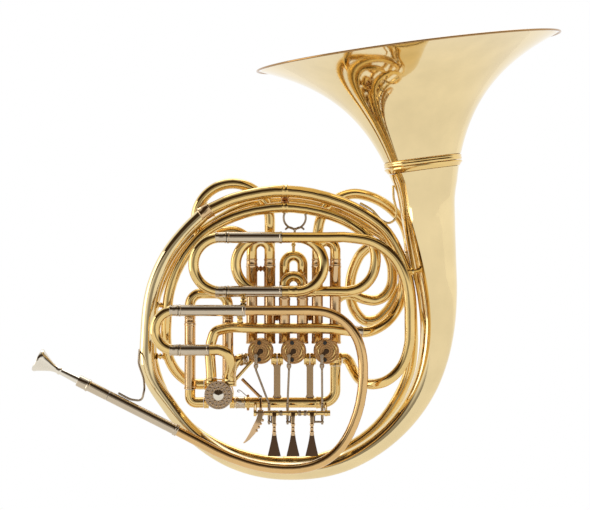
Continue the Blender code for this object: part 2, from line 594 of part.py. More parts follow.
def casing(name, x, z, radius, front, sleeves, stubs, m, home, cutters):
    """A valve casing with its soldered slide sleeves and port stubs, bored for the rotor."""
    middle = Vector((x, front, z))
    back = Vector((x, VALVE_BACK, z))
    body = rod(name, middle, back, radius, m["brass"], home, 24)
    added = []
    bores = []
    bore = SLEEVE_R - SLEEVE_WALL
    for i, (offset, depth, top) in enumerate(sleeves):
        foot = Vector((x + offset, depth, z + 0.003))
        head = Vector((x + offset, depth, top))
        added.append(rod(f"{name}_sleeve_{i}", foot, head, SLEEVE_R, m["nickel"], home))
        bores.append(rod(f"{name}_bore_{i}", foot + Vector((0, 0, 0.0011)), head + Vector((0, 0, 0.002)), bore,
                         m["nickel"], home, 14))
    for i, (start, end) in enumerate(stubs):
        added.append(rod(f"{name}_stub_{i}", start, end, SLEEVE_R, m["brass"], home))
    lift = Vector((0, 0.002, 0))
    bores.append(rod(f"{name}_chamber", middle - lift, back + lift, radius - VALVE_WALL, m["brass"], home, 24))
    combine(body, added, "UNION", cutters)
    combine(body, bores, "DIFFERENCE", cutters)
    return body


def stop_arm(name, hub, home):
    direction = Vector((math.cos(ARM_ANGLE), 0.0, math.sin(ARM_ANGLE)))
    side = Vector((-direction.z, 0.0, direction.x)) * 0.0018
    end = hub + direction * (STOP_ARM + 0.0015)
    work = bmesh.new()
    flat = [hub + side, end + side * 0.8, end - side * 0.8, hub - side]
    low = [work.verts.new(p) for p in flat]
    high = [work.verts.new(p + Vector((0, ARM_T, 0))) for p in flat]
    for k in range(4):
        work.faces.new((low[k], low[(k + 1) % 4], high[(k + 1) % 4], high[k]))
    work.faces.new(low[::-1])
    work.faces.new(high)
    bmesh.ops.recalc_face_normals(work, faces=work.faces)
    mesh = bpy.data.meshes.new(name + "_arm")
    work.to_mesh(mesh)
    work.free()
    arm = bpy.data.objects.new(name + "_arm", mesh)
    home.objects.link(arm)
    return arm


def rotor(name, x, z, radius, front, m, home, cutters, armed=True):
    """Rotor and spindle, with the stop arm that the push rod turns or a plain cone in its place."""
    bore = radius - VALVE_WALL - GAP
    spindle = 0.0022
    tip = ARM_Y - ARM_T + (front - VALVE_FRONT)
    profile = [(0.0, VALVE_BACK - 0.0006), (spindle, VALVE_BACK - 0.0006), (spindle, VALVE_BACK - 0.0020),
               (bore, VALVE_BACK - 0.0020), (bore, front + 0.0004), (spindle, front + 0.0004),
               (spindle, tip - 0.0004), (0.0, tip - 0.0004)]
    if not armed:
        deck = front - PLATE_T - 2 * GAP
        profile = profile[:-2] + [(spindle, deck), (CONE_R, deck), (CONE_R - 0.0006, deck - 0.0008),
                                  (0.0008, deck - CONE_H), (0.0, deck - CONE_H)]
    body = turned(name, [(r, h) for r, h in profile], (x, 0.0, z), (0, 1, 0), m["bronze"], home, 24)
    if armed:
        combine(body, [stop_arm(name, Vector((x, tip, z)), home)], "UNION", cutters)
    passages = []
    for i, offset in enumerate((-0.0062, 0.0062)):
        deck = front + 0.0085
        passages.append(rod(f"{name}_passage_{i}", (x + offset, deck, z - radius), (x + offset, deck, z + radius),
                            0.0034, m["bronze"], home, 8))
    combine(body, passages, "DIFFERENCE", cutters)
    return body


def valve_cap(name, x, z, radius, depth, m, home):
    profile = [(0.0, 0.0048), (radius - 0.0020, 0.0048), (radius, 0.0036), (radius, GAP), (0.0, GAP)]
    turned(name, profile, (x, depth, z), (0, 1, 0), m["brass"], home, 24)


def front_plate(name, x, z, radius, front, m, home, cutters, bumpers=True):
    """The ornamental bearing plate, with the two bumpers that stop the arm."""
    low = front - PLATE_T - GAP
    profile = [(0.0028, front - GAP), (radius, front - GAP), (radius, low + 0.0006), (radius - 0.0008, low),
               (0.0028, low)]
    plate = turned(name, profile, (x, 0.0, z), (0, 1, 0), m["plate"], home, 24, ring=True)
    if bumpers:
        posts = []
        for i, side in enumerate((1, -1)):
            angle = math.pi + side * math.radians(80)
            spot = Vector((x + 0.0087 * math.cos(angle), low + 0.0010, z + 0.0087 * math.sin(angle)))
            posts.append(rod(f"{name}_bumper_{i}", spot, spot - Vector((0, 0.0055, 0)), 0.0022, m["rubber"],
                             home, 10))
        combine(plate, posts, "UNION", cutters)


def valves(m, home, cutters):
    half = VALVE_PITCH / 2 - GAP / 2
    tops = ((SLEEVE_TOP_Z, SLEEVE_TOP_Z, SLEEVE_TOP_Z, SLEEVE_TOP_Z),
            (MIDDLE_SLEEVE_FRONT_Z, MIDDLE_SLEEVE_FRONT_Z, MIDDLE_SLEEVE_REAR_Z, MIDDLE_SLEEVE_REAR_Z),
            (SLEEVE_TOP_Z, SLEEVE_TOP_Z, SLEEVE_TOP_Z, 0.0400))
    names = ("first", "second", "third")
    for i, word in enumerate(names):
        x = (i - 1) * VALVE_PITCH
        sleeves = [(-SLIDE_OFFSET, 0.0, tops[i][0]), (SLIDE_OFFSET, 0.0, tops[i][1]),
                   (-SLIDE_OFFSET, REAR, tops[i][2]), (SLIDE_OFFSET, REAR, tops[i][3])]
        stubs = [((x - 0.009, 0.0, STUB_Z), (x - half, 0.0, STUB_Z) if i else LINK_END)]
        if i < 2:
            stubs.append(((x + 0.009, 0.0, STUB_Z), (x + half, 0.0, STUB_Z)))
        else:
            stubs.append(((x + SLIDE_OFFSET, 0.0, -0.004), (x + SLIDE_OFFSET, 0.0, -0.0150)))
            stubs.append(((x + 0.009, REAR, STUB_Z), (x + VALVE_R + 0.0030, REAR, STUB_Z)))
        casing(f"{word}_valve_casing", x, 0.0, VALVE_R, VALVE_FRONT, sleeves, stubs, m, home, cutters)
        rotor(f"{word}_valve_rotor", x, 0.0, VALVE_R, VALVE_FRONT, m, home, cutters)
        front_plate(f"{word}_valve_front_plate", x, 0.0, VALVE_R, VALVE_FRONT, m, home, cutters)
        valve_cap(f"{word}_valve_rear_cap", x, 0.0, VALVE_R, VALVE_BACK, m, home)
    x, z = CHANGE_X, CHANGE_Z
    stubs = [((x - 0.0076, THIRD, z + 0.004), (x - 0.0076, THIRD, z + 0.0164)),
             ((B_RIGHT_X, 0.0, z + 0.004), (B_RIGHT_X, 0.0, z + 0.0160 - GAP)),
             ((x + 0.0108, SECOND, z + 0.002), (x + 0.0108, SECOND, z + 0.0135)),
             ((x + 0.0118, THIRD, z + 0.002), (x + 0.0118, THIRD, z + 0.0135)),
             ((x - 0.009, REAR, z + 0.0090), (x - 0.0157, REAR, z + 0.0090)),
             ((x - 0.009, 0.0, z - 0.0090), (x - 0.0157, 0.0, z - 0.0090)),
             ((x + 0.009, 0.0, z - 0.0090), (x + 0.0157, 0.0, z - 0.0090))]
    casing("thumb_valve_casing", x, z, CHANGE_R, CHANGE_FRONT, [], stubs, m, home, cutters)
    rotor("thumb_valve_rotor", x, z, CHANGE_R, CHANGE_FRONT, m, home, cutters, False)
    front_plate("thumb_valve_front_plate", x, z, CHANGE_R, CHANGE_FRONT, m, home, cutters, False)
    valve_cap("thumb_valve_rear_cap", x, z, CHANGE_R, VALVE_BACK, m, home)


LEVERS = ((-0.0193, -0.0247, -VALVE_PITCH), (-0.0005, -0.0060, 0.0), (0.0184, 0.0290, VALVE_PITCH))


def keywork(m, home, cutters):
    axle_left, axle_right = -0.0400, 0.0340
    axle = rod("lever_axle_frame", (axle_left, AXLE_Y, AXLE_Z), (axle_right, AXLE_Y, AXLE_Z), AXLE_R,
               m["steel"], home, 12)
    bore = AXLE_R + 0.0002
    tube_low = CHANGE_Z - 0.0090
    added = []
    for i, x in enumerate((axle_left + 0.0015, axle_right - 0.0015)):
        added.append(rod(f"axle_eye_{i}", (x - 0.0015, AXLE_Y, AXLE_Z), (x + 0.0015, AXLE_Y, AXLE_Z), BARREL_R,
                         m["nickel"], home))
        added.append(rod(f"axle_post_{i}", (x, AXLE_Y + 0.001, AXLE_Z + 0.0015),
                         (x, -TUBE_R - 2 * GAP, tube_low - 0.0010), 0.0016, m["nickel"], home, 10))
    combine(axle, added, "UNION", cutters)
    for i, (x, ball, valve) in enumerate(LEVERS):
        name = f"finger_lever_{i + 1}"
        barrel = rod(name, (x - 0.0045, AXLE_Y, AXLE_Z), (x + 0.0045, AXLE_Y, AXLE_Z), BARREL_R,
                     m["bronze"], home)
        blade = strip(name + "_blade", [
            (x, AXLE_Y - 0.0025, AXLE_Z + 0.0015, 0.0022), (x, AXLE_Y - 0.0045, AXLE_Z - 0.0045, 0.0016),
            (x, AXLE_Y - 0.0042, AXLE_Z - 0.0130, 0.0013), (x, AXLE_Y - 0.0036, AXLE_Z - 0.0215, 0.0016),
            (x, AXLE_Y - 0.0010, AXLE_Z - 0.0430, 0.0066)], 0.0016, m["bronze"], home)
        side = math.copysign(1.0, ball - x)
        back = strip(name + "_back", [
            (x + side * 0.0022, AXLE_Y + 0.0020, AXLE_Z - 0.0008, 0.0012),
            (x + side * 0.0022, ROD_Y - 0.0060, PIN_Z + 0.0026, 0.0012),
            (x + side * 0.0022, ROD_Y + 0.0014, PIN_Z, 0.0012)], 0.0034, m["bronze"], home)
        pin = rod(name + "_pin", (x + side * 0.0018, ROD_Y, PIN_Z), (ball + side * 0.0016, ROD_Y, PIN_Z),
                  0.0011, m["steel"], home, 8)
        hole = rod(name + "_hole", (x - 0.006, AXLE_Y, AXLE_Z), (x + 0.006, AXLE_Y, AXLE_Z), bore,
                   m["bronze"], home)
        combine(barrel, [blade, back, pin], "UNION", cutters)
        combine(barrel, [hole], "DIFFERENCE", cutters)
        tip = Vector((valve - STOP_ARM * math.sin(math.radians(45)), 0, -STOP_ARM * math.sin(math.radians(45))))
        link = f"push_rod_{i + 1}"
        eye = pipe(link, (ball - 0.0011, ROD_Y, PIN_Z), (ball + 0.0011, ROD_Y, PIN_Z), 0.0027, 0.0014,
                   m["steel"], home)
        foot = Vector((ball, ROD_Y, PIN_Z + 0.0022))
        head = Vector((tip.x, ROD_Y, tip.z))
        shaft = rod(link + "_shaft", foot, head, 0.0011, m["steel"], home, 10)
        disc = rod(link + "_disc", (tip.x, ROD_Y - 0.0014, tip.z), (tip.x, ARM_Y - ARM_T - 0.0005, tip.z),
                   0.0022, m["steel"], home)
        combine(eye, [shaft, disc], "UNION", cutters)


def thumb_work(m, home, cutters):
    x = -0.0330
    barrel = rod("thumb_lever", (x - 0.0030, AXLE_Y, AXLE_Z), (x + 0.0030, AXLE_Y, AXLE_Z), BARREL_R,
                 m["silver"], home)
    blade = strip("thumb_lever_blade", [
        (x, AXLE_Y - 0.0026, AXLE_Z, 0.0024), (x - 0.0012, AXLE_Y - 0.0036, AXLE_Z - 0.0060, 0.0031),
        (x - 0.0045, AXLE_Y - 0.0034, AXLE_Z - 0.0130, 0.0033),
        (x - 0.0085, AXLE_Y - 0.0028, AXLE_Z - 0.0205, 0.0029),
        (x - 0.0130, AXLE_Y - 0.0018, AXLE_Z - 0.0265, 0.0020),
        (x - 0.0168, AXLE_Y - 0.0010, AXLE_Z - 0.0300, 0.0008)],
        0.0018, m["silver"], home)
    knee = (x, AXLE_Y + 0.0130, AXLE_Z + 0.0040)
    crank = rod("thumb_lever_crank", (x, AXLE_Y + 0.0024, AXLE_Z + 0.0008), knee, 0.0014, m["silver"], home, 8)
    riser = rod("thumb_lever_riser", (x, AXLE_Y + 0.0122, AXLE_Z + 0.0034), THUMB_ELBOW, 0.0013,
                m["silver"], home, 8)
    rocker = rod("thumb_lever_rocker", (THUMB_ELBOW[0] + 0.0008, THUMB_ELBOW[1], THUMB_ELBOW[2] - 0.0008),
                 THUMB_TIP, 0.0014, m["silver"], home, 8)
    hole = rod("thumb_lever_hole", (x - 0.005, AXLE_Y, AXLE_Z), (x + 0.005, AXLE_Y, AXLE_Z), AXLE_R + 0.0002,
               m["silver"], home)
    combine(barrel, [blade, crank, riser, rocker], "UNION", cutters)
    combine(barrel, [hole], "DIFFERENCE", cutters)


def braces(m, home):
    posts = CHANGE_Z - 0.0090 + TUBE_R
    for i, x in enumerate((-VALVE_PITCH / 2, VALVE_PITCH / 2)):
        low = posts + GAP
        high = STUB_Z - SLEEVE_R - GAP
        strip(f"valve_brace_{i + 1}", [(x, 0.0, low, 0.0035), (x, 0.0, high, 0.0035)], 0.0024, m["rose"], home)
    wire = [(-0.1564, 0.0, 0.0013), (-0.1560, -0.0200, -0.0120), (-0.1500, -0.0350, -0.0300),
            (-0.1500, FRONT, -0.0400), (-0.1530, FRONT, -0.0475), (-0.1600, FRONT, -0.0477),
            (-0.1755, FRONT, -0.0408)]
    path = spline_path(wire)
    curve_tube("leadpipe_brace", path, 0.0011, m["steel"], home)


def build():
    clear_scene()
    home = collection("double_french_horn")
    cutters = collection("cutters")
    m = {
        "brass": material("lacquered_brass", (0.80, 0.55, 0.22), 0.18, 1.0),
        "rose": material("rose_brass", (0.78, 0.47, 0.26), 0.20, 1.0),
        "nickel": material("nickel_silver", (0.68, 0.62, 0.52), 0.22, 1.0),
        "silver": material("silver_plate", (0.82, 0.78, 0.68), 0.18, 1.0),
        "plate": material("engraved_plate", (0.52, 0.42, 0.30), 0.35, 1.0),
        "bronze": material("dark_bronze", (0.32, 0.24, 0.13), 0.35, 1.0),
        "steel": material("spring_steel", (0.30, 0.26, 0.20), 0.30, 1.0),
        "rubber": material("black_rubber", (0.03, 0.03, 0.03), 0.70, 0.0),
    }
    bell(m, home)
    throat(m, home)
    coil(m, home)
    leadpipe(m, home)
    main_slide(m, home)
    f_side(m, home)
    b_flat_side(m, home)
    valve_slides(m, home)
    valves(m, home, cutters)
    keywork(m, home, cutters)
    thumb_work(m, home, cutters)
    braces(m, home)


build()
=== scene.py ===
"""Looks of the double french horn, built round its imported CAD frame. Metres, +Z up."""
import json
import math

import bmesh
import bpy
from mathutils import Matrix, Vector


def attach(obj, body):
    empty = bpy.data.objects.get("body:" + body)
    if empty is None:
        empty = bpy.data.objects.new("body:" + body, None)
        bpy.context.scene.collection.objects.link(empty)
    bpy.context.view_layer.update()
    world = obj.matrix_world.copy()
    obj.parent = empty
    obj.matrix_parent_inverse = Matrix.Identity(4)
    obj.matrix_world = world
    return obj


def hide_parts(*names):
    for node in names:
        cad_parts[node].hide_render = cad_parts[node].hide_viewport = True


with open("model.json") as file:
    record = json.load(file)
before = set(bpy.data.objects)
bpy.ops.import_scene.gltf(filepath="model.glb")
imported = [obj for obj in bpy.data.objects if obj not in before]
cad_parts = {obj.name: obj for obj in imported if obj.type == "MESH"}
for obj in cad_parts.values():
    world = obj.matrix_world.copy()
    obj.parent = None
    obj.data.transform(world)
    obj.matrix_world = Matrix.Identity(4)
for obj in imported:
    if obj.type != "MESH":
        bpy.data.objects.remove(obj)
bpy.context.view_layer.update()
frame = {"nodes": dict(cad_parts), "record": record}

# Tubes, and the layers that they lie in
TUBE_R = 0.0054
SLEEVE_R = 0.0057
SLEEVE_WALL = 0.0005
SLEEVE_BORE = SLEEVE_R - SLEEVE_WALL
LEG_R = 0.0048
LEADPIPE_R = 0.005
COIL_R = 0.0066
GAP = 0.0003
LAYER = 0.014
FRONT = -3 * LAYER
SECOND = -2 * LAYER
THIRD = -LAYER
REAR = LAYER
LAST = 2 * LAYER

# Valves 1 to 3
VALVE_PITCH = 0.0333
VALVE_R = 0.0129
VALVE_WALL = 0.0019
VALVE_FRONT = -0.0085
VALVE_BACK = 0.0225
SLIDE_OFFSET = 0.0091
PLATE_T = 0.0025
STUB_Z = -0.008
STUB_IN = 0.0105
RIGHT_STUB_X = VALVE_PITCH + VALVE_R + 0.003
BOTTOM_STUB_Z = -0.015
LINK_END = (-0.0489, -0.0044, -0.008)

# Change valve and the ends of its ports
CHANGE_X = -0.0753
CHANGE_Z = -0.0433
CHANGE_R = 0.0142
CHANGE_FRONT = -0.0345
PORT_REACH = 0.0157
PORT_Z = CHANGE_Z - 0.009
BRANCH_PORT = (CHANGE_X - 0.0076, THIRD, CHANGE_Z + 0.0164)
MAIN_PORT = (CHANGE_X + 0.0108, SECOND, CHANGE_Z + 0.0135)
LINK_PORT = (CHANGE_X + 0.0118, THIRD, CHANGE_Z + 0.0135)
INNER_PORT = (CHANGE_X - PORT_REACH, REAR, CHANGE_Z + 0.009)
LEFT_PORT = (CHANGE_X - PORT_REACH, 0.0, PORT_Z)
RIGHT_PORT = (CHANGE_X + PORT_REACH, 0.0, PORT_Z)
CONE_R = 0.0054
CONE_H = 0.0042

# Bell and its screw ring
BELL_R = 0.155
BELL_WALL = 0.0009
BELL_LENGTH = 0.1095
BELL_FLARE = 0.1117
BELL_TILT = math.radians(7.4)
RING_CENTRE = (0.1316, 0.0, 0.1895)
RING_R = 0.0398
RING_BORE = 0.0345
RING_H = 0.0055

# Leadpipe and mouthpiece
LEADPIPE_SLOPE = math.radians(26.9)
RECEIVER_END = (-0.216, -0.028)
RECEIVER_L = 0.034
JACKET_X = -0.1177
MOUTHPIECE_R = 0.012
MOUTHPIECE_L = 0.066
SHANK = 0.02
SHANK_BORE = 0.0036

# Main tuning slide
MAIN_UPPER_Z = 0.0418
MAIN_LOWER_Z = 0.0022
MAIN_CROOK_X = -0.119
MAIN_SLEEVE_X = -0.1154
MAIN_UPPER_END = -0.0486
MAIN_LOWER_END = -0.0846
MAIN_TRAVEL = 0.025

# F slide and its return bow
F_UPPER_Z = 0.115
F_LOWER_Z = 0.0607
F_CROOK_X = -0.0734
F_SLEEVE_X = -0.0674
F_SLEEVE_END = -0.0114
F_TRAVEL = 0.035
F_TURN_X = 0.0035
F_BACK_X = -0.0312
F_JOINT_X = 0.018

# Thumb slide
B_LEFT_X = -0.105
B_RIGHT_X = -0.0667
B_TOP_Z = 0.0585
B_SLEEVE_Z = 0.0284
B_LEFT_FOOT_Z = -0.039
B_RIGHT_FOOT_Z = CHANGE_Z + 0.016
B_TRAVEL = 0.018

# Valve slides
FRONT_TOP_Z = 0.1022
SLEEVE_TOP_Z = 0.087
MIDDLE_FRONT_Z = 0.0667
MIDDLE_REAR_Z = 0.0875
MIDDLE_SLEEVE_FRONT_Z = 0.054
MIDDLE_SLEEVE_REAR_Z = 0.064
VALVE_TRAVEL = 0.012
MIDDLE_TRAVEL = 0.018
CROOK_TRAVEL = 0.022
BOW_TRAVEL = 0.012
HELD_LEG = 0.008
MOUTH_RIM = 0.0014
LOOP_X = VALVE_PITCH + SLIDE_OFFSET
LOOP_Z = 0.04
BOW_X = 0.1189
BOW_Y = LAST + 0.004
BOW_SLEEVE_Z = 0.079

# Keywork: LEVERS gives each lever's place on the axle, its push rod's and its valve's
LEVERS = ((-0.0193, -0.0247, -VALVE_PITCH), (-0.0005, -0.006, 0.0), (0.0184, 0.029, VALVE_PITCH))
STOP_ARM = 0.0065
ARM_Y = -0.0136
ARM_T = 0.0023
ROD_Y = -0.0175
PIN_Z = -0.071
AXLE_Y = -0.04
AXLE_Z = -0.061
AXLE_R = 0.0016
AXLE_ENDS = (-0.04, 0.034)
BUSHES = ((-0.0297, -0.024), (-0.0145, -0.0053), (0.0043, 0.0136), (0.0232, 0.0308))
BARREL_R = 0.0032
THUMB_X = -0.033
THUMB_ELBOW = (-0.0335, -0.0235, -0.0458)
THUMB_TIP = (-0.052, -0.022, -0.0274)

# Limits of drawn curves, and the round left on sharp edges
CURVE_STEPS = 40
CLOSEST = 0.0008
SOFT = 0.0003

# Studio
FLOOR_NEAR = -6.0
FLOOR_FAR = 1.4
FLOOR_SIDE = 6.0
FLOOR_Z = -0.32
FLOOR_TONE = 0.45
FLOOR_GLOW = 0.68
LIGHT_AIM = (0.0, 0.0, 0.08)
LIGHTS = (("left box", (-2.0, -0.1, 0.35), 1.2, 1.6, 12.0),
          ("top box", (0.2, 1.1, 2.0), 2.2, 1.0, 16.0))
TENT_DARK = (0.05, 0.031, 0.018, 1.0)
WHITE = (1.0, 1.0, 1.0, 1.0)
CAMERA_PLACE = (0.0015, -3.2, 0.0974)
CAMERA_LENS = 192.4
CAMERA_SENSOR = 36.0


def preset(node, values):
    """Sets a node's inputs by name."""
    for name, value in values.items():
        node.inputs[name].default_value = value


def blank(name):
    """A new material with its node tree and its shader."""
    made = bpy.data.materials.new(name)
    made.use_nodes = True
    return made, made.node_tree, made.node_tree.nodes["Principled BSDF"]


def added(tree, kind, values, wires):
    """A new node with some inputs set and others wired."""
    node = tree.nodes.new("ShaderNode" + kind)
    preset(node, values)
    for socket, source in wires.items():
        tree.links.new(source, node.inputs[socket])
    return node


def metal(name, colour, roughness, coat=0.0, grain=260.0, relief=0.02):
    """Polished metal with faint mottling in its colour and gloss."""
    made, tree, shader = blank(name)
    preset(shader, {"Metallic": 1.0, "Coat Weight": coat, "Coat Roughness": 0.08})
    place = tree.nodes.new("ShaderNodeTexCoord").outputs["Object"]
    mottle = added(tree, "TexNoise", {"Scale": 28.0, "Detail": 5.0}, {"Vector": place})
    ramp = added(tree, "ValToRGB", {}, {"Fac": mottle.outputs["Fac"]})
    for stop, spot, gain in zip(ramp.color_ramp.elements, (0.3, 0.72), (0.93, 1.04)):
        stop.position = spot
        stop.color = (*(min(1.0, c * gain) for c in colour), 1.0)
    haze = added(tree, "TexNoise", {"Scale": grain, "Detail": 3.0}, {"Vector": place})
    haze = haze.outputs["Fac"]
    gloss = {"To Min": roughness * 0.7, "To Max": roughness * 1.4}
    spread = added(tree, "MapRange", gloss, {"Value": haze})
    bump = added(tree, "Bump", {"Strength": relief, "Distance": 0.0004}, {"Height": haze})
    tree.links.new(ramp.outputs["Color"], shader.inputs["Base Color"])
    tree.links.new(spread.outputs["Result"], shader.inputs["Roughness"])
    tree.links.new(bump.outputs["Normal"], shader.inputs["Normal"])
    return made


def rubber(name):
    """Dark rubber with an uneven, dull gloss."""
    made, tree, shader = blank(name)
    preset(shader, {"Base Color": (0.03, 0.028, 0.025, 1.0)})
    noise = added(tree, "TexNoise", {"Scale": 900.0}, {})
    gloss = {"To Min": 0.55, "To Max": 0.8}
    spread = added(tree, "MapRange", gloss, {"Value": noise.outputs["Fac"]})
    tree.links.new(spread.outputs["Result"], shader.inputs["Roughness"])
    return made


LOOKS = {
    "brass": metal("lacquered brass", (0.84, 0.6, 0.24), 0.085, 0.05),
    "bell_brass": metal("polished bell brass", (0.86, 0.69, 0.38), 0.05, 0.05),
    # The rim's brass is a darker copy of the bell's brass: painted shade for the dark line along the
    # bell's edge.
    "painted_shade_rim_brass": metal("rim brass darkened as painted shade", (0.42, 0.24, 0.09), 0.16),
    "rose_brass": metal("rose brass", (0.76, 0.49, 0.21), 0.1, 0.05),
    "post_brass": metal("dull rose brass", (0.5, 0.33, 0.17), 0.22),
    "nickel_silver": metal("nickel silver", (0.62, 0.52, 0.38), 0.12),
    "warm_nickel": metal("warm nickel silver", (0.72, 0.5, 0.27), 0.12),
    "silver": metal("silver plate", (0.8, 0.74, 0.62), 0.09),
    "plate": metal("dark engraved brass", (0.56, 0.31, 0.12), 0.25, 0.0, 420.0, 0.25),
    "engraved": metal("engraved nickel", (0.5, 0.37, 0.25), 0.3, 0.0, 900.0, 0.9),
    # Dark bronze for the levers. Its near-black tone is partly the levers' own metal and partly painted
    # shade at the arms' roots.
    "bronze": metal("dark bronze with painted shade", (0.085, 0.048, 0.026), 0.22, 0.0, 300.0, 0.1),
    "worn_silver": metal("worn silver plate", (0.66, 0.45, 0.25), 0.14),
    "steel": metal("worn steel", (0.42, 0.33, 0.23), 0.24),
    "rubber": rubber("stop rubber"),
}


def place_piece(piece, hides, slot, body):
    """Gives a piece its look and body, in place of the CAD nodes that it hides."""
    bpy.context.scene.collection.objects.link(piece)
    piece.data.materials.append(LOOKS[slot])
    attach(piece, body)
    if hides:
        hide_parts(*hides)
    return piece


def add_mesh(name, work, hides=(), slot="brass", body="horn", sharp=math.radians(38)):
    bmesh.ops.recalc_face_normals(work, faces=work.faces)
    mesh = bpy.data.meshes.new(name)
    work.to_mesh(mesh)
    work.free()
    mesh.shade_smooth()
    mesh.set_sharp_from_angle(angle=sharp)
    return place_piece(bpy.data.objects.new(name, mesh), hides, slot, body)


def hermite(start, end, leaving, arriving, t):
    """The share t of the way along a cubic with the given ends and end slopes."""
    return (start * (2 * t ** 3 - 3 * t ** 2 + 1) + leaving * (t ** 3 - 2 * t ** 2 + t)
            + end * (3 * t ** 2 - 2 * t ** 3) + arriving * (t ** 3 - t ** 2))


def graded_slopes(sizes, runs):
    """How fast the radius grows at each point, from the runs on both sides of it."""
    rates = [(after - here) / run.length for here, after, run in zip(sizes, sizes[1:], runs)]
    slopes = [rates[0]]
    for rate, after, run, next_run in zip(rates, rates[1:], runs, runs[1:]):
        share = rate * next_run.length + after * run.length
        slopes.append(share / (run.length + next_run.length))
    return slopes + [rates[-1]]


def thinned(dense, turn, reach):
    """The (place, radius) pairs that a curve needs to hold its bends."""
    kept = [dense[0]]
    end = dense[-1]
    heading = (dense[1][0] - dense[0][0]).normalized()
    for (here, size), (after, _) in zip(dense[1:], dense[2:]):
        now = (after - here).normalized()
        gap = (here - kept[-1][0]).length
        if heading.angle(now) <= turn and gap <= reach:
            continue
        if gap >= CLOSEST and (end[0] - here).length >= CLOSEST:
            kept.append((here, size))
            heading = now
    return kept + [end]


def graded_path(points, sizes, turn=0.085, reach=0.02):
    """Smooth curve through the points, as pairs of a place and its radius."""
    knots = [Vector(p) for p in points]
    runs = [after - here for here, after in zip(knots, knots[1:])]
    aims = [runs[0].normalized()]
    for before, after in zip(runs, runs[1:]):
        aim = before.normalized() * after.length + after.normalized() * before.length
        aims.append(aim.normalized())
    aims.append(runs[-1].normalized())
    slopes = graded_slopes(sizes, runs)
    dense = []
    for i, run in enumerate(runs):
        far = run.length
        for step in range(CURVE_STEPS):
            t = step / CURVE_STEPS
            spot = hermite(knots[i], knots[i + 1], aims[i] * far, aims[i + 1] * far, t)
            size = hermite(sizes[i], sizes[i + 1], slopes[i] * far, slopes[i + 1] * far, t)
            dense.append((spot, size))
    dense.append((knots[-1], sizes[-1]))
    return thinned(dense, turn, reach)


def smooth_path(points):
    return [spot for spot, _ in graded_path(points, [0.0] * len(points))]


def flat(depth, *spots):
    """Points (x, z) laid in one layer."""
    return [(x, depth, z) for x, z in spots]


def trimmed(path, start=GAP, end=GAP):
    """The path with both ends drawn in."""
    points = [Vector(p) for p in path]
    points[0] = points[0] + (points[1] - points[0]).normalized() * start
    points[-1] = points[-1] + (points[-2] - points[-1]).normalized() * end
    return points


def bent_path(corners, radius, steps=12):
    """Straight runs joined by round bends."""
    points = [Vector(c) for c in corners]
    path = [points[0]]
    for before, corner, after in zip(points, points[1:], points[2:]):
        back = (before - corner).normalized()
        on = (after - corner).normalized()
        half = back.angle(on) / 2
        reach = min(radius / math.tan(half), 0.49 * (before - corner).length,
                    0.49 * (after - corner).length)
        size = reach * math.tan(half)
        centre = corner + (back + on).normalized() * (size / math.sin(half))
        start = corner + back * reach - centre
        finish = corner + on * reach - centre
        sweep = start.angle(finish)
        for step in range(steps + 1):
            part = step / steps
            arm = start * math.sin((1 - part) * sweep) + finish * math.sin(part * sweep)
            path.append(centre + arm / math.sin(sweep))
    return path + [points[-1]]


def arc(centre, radius, start, end, depth, end_depth=None, steps=32):
    """Points round a centre (x, z), drifting from one depth to the other."""
    far = depth if end_depth is None else end_depth
    points = []
    for step in range(steps + 1):
        part = step / steps
        angle = math.radians(start + (end - start) * part)
        points.append(Vector((centre[0] + radius * math.cos(angle), depth + (far - depth) * part,
                              centre[1] + radius * math.sin(angle))))
    return points


def tube(name, path, radius=TUBE_R, hides=(), slot="brass", body="horn", radii=None, sides=7):
    """A round bar along the path; radii gives its radius at each point."""
    data = bpy.data.curves.new(name, "CURVE")
    data.dimensions = "3D"
    data.bevel_depth = radius
    data.bevel_resolution = sides
    data.use_fill_caps = True
    line = data.splines.new("POLY")
    line.points.add(len(path) - 1)
    for i, point in enumerate(path):
        line.points[i].co = (*point, 1.0)
        line.points[i].radius = radii[i] / radius if radii else 1.0
    return place_piece(bpy.data.objects.new(name, data), hides, slot, body)


def join_rows(work, rows, ring):
    """Faces from each row of points to the next; a ring joins the last row to the first."""
    for upper, lower in zip(rows, rows[1:] + rows[:1] if ring else rows[1:]):
        steps = max(len(upper), len(lower))
        for k in range(steps):
            around = ((upper, k), (lower, k), (lower, k + 1), (upper, k + 1))
            corners = [row[j % len(row)] for row, j in around]
            work.faces.new(tuple(dict.fromkeys(corners)))


def lathe(name, profile, place, direction, hides=(), slot="brass", body="horn", steps=64, ring=False):
    """A turned piece: (radius, height) points spun about the direction through the place."""
    turn = Vector((0, 0, 1)).rotation_difference(Vector(direction).normalized())
    start = Vector(place)
    work = bmesh.new()
    rows = []
    for radius, height in profile:
        row = []
        for k in range(steps if radius else 1):
            angle = math.tau * k / steps
            spot = Vector((radius * math.cos(angle), radius * math.sin(angle), height))
            row.append(work.verts.new(start + turn @ spot))
        rows.append(row)
    join_rows(work, rows, ring)
    return add_mesh(name, work, hides, slot, body)


def skin(radius, *spots):
    """Profile points, each (out from the radius, height)."""
    return [(radius + out, height) for out, height in spots]


def pipe(name, start, end, radius, bore, hides=(), slot="brass", body="horn", lip=0.0):
    """A sleeve with softened ends; a lip stands proud at each end."""
    start = Vector(start)
    end = Vector(end)
    length = (end - start).length
    profile = [(bore, length)] + skin(radius, (-SOFT, length), (lip, length - SOFT))
    if lip:
        crest = 0.0022
        root = 0.0026
        profile += skin(radius, (lip, length - crest), (0.0, length - root))
        profile += skin(radius, (0.0, root), (lip, crest))
    profile += skin(radius, (lip, SOFT), (-SOFT, 0.0)) + [(bore, 0.0)]
    return lathe(name, profile, start, end - start, hides, slot, body, 40, True)


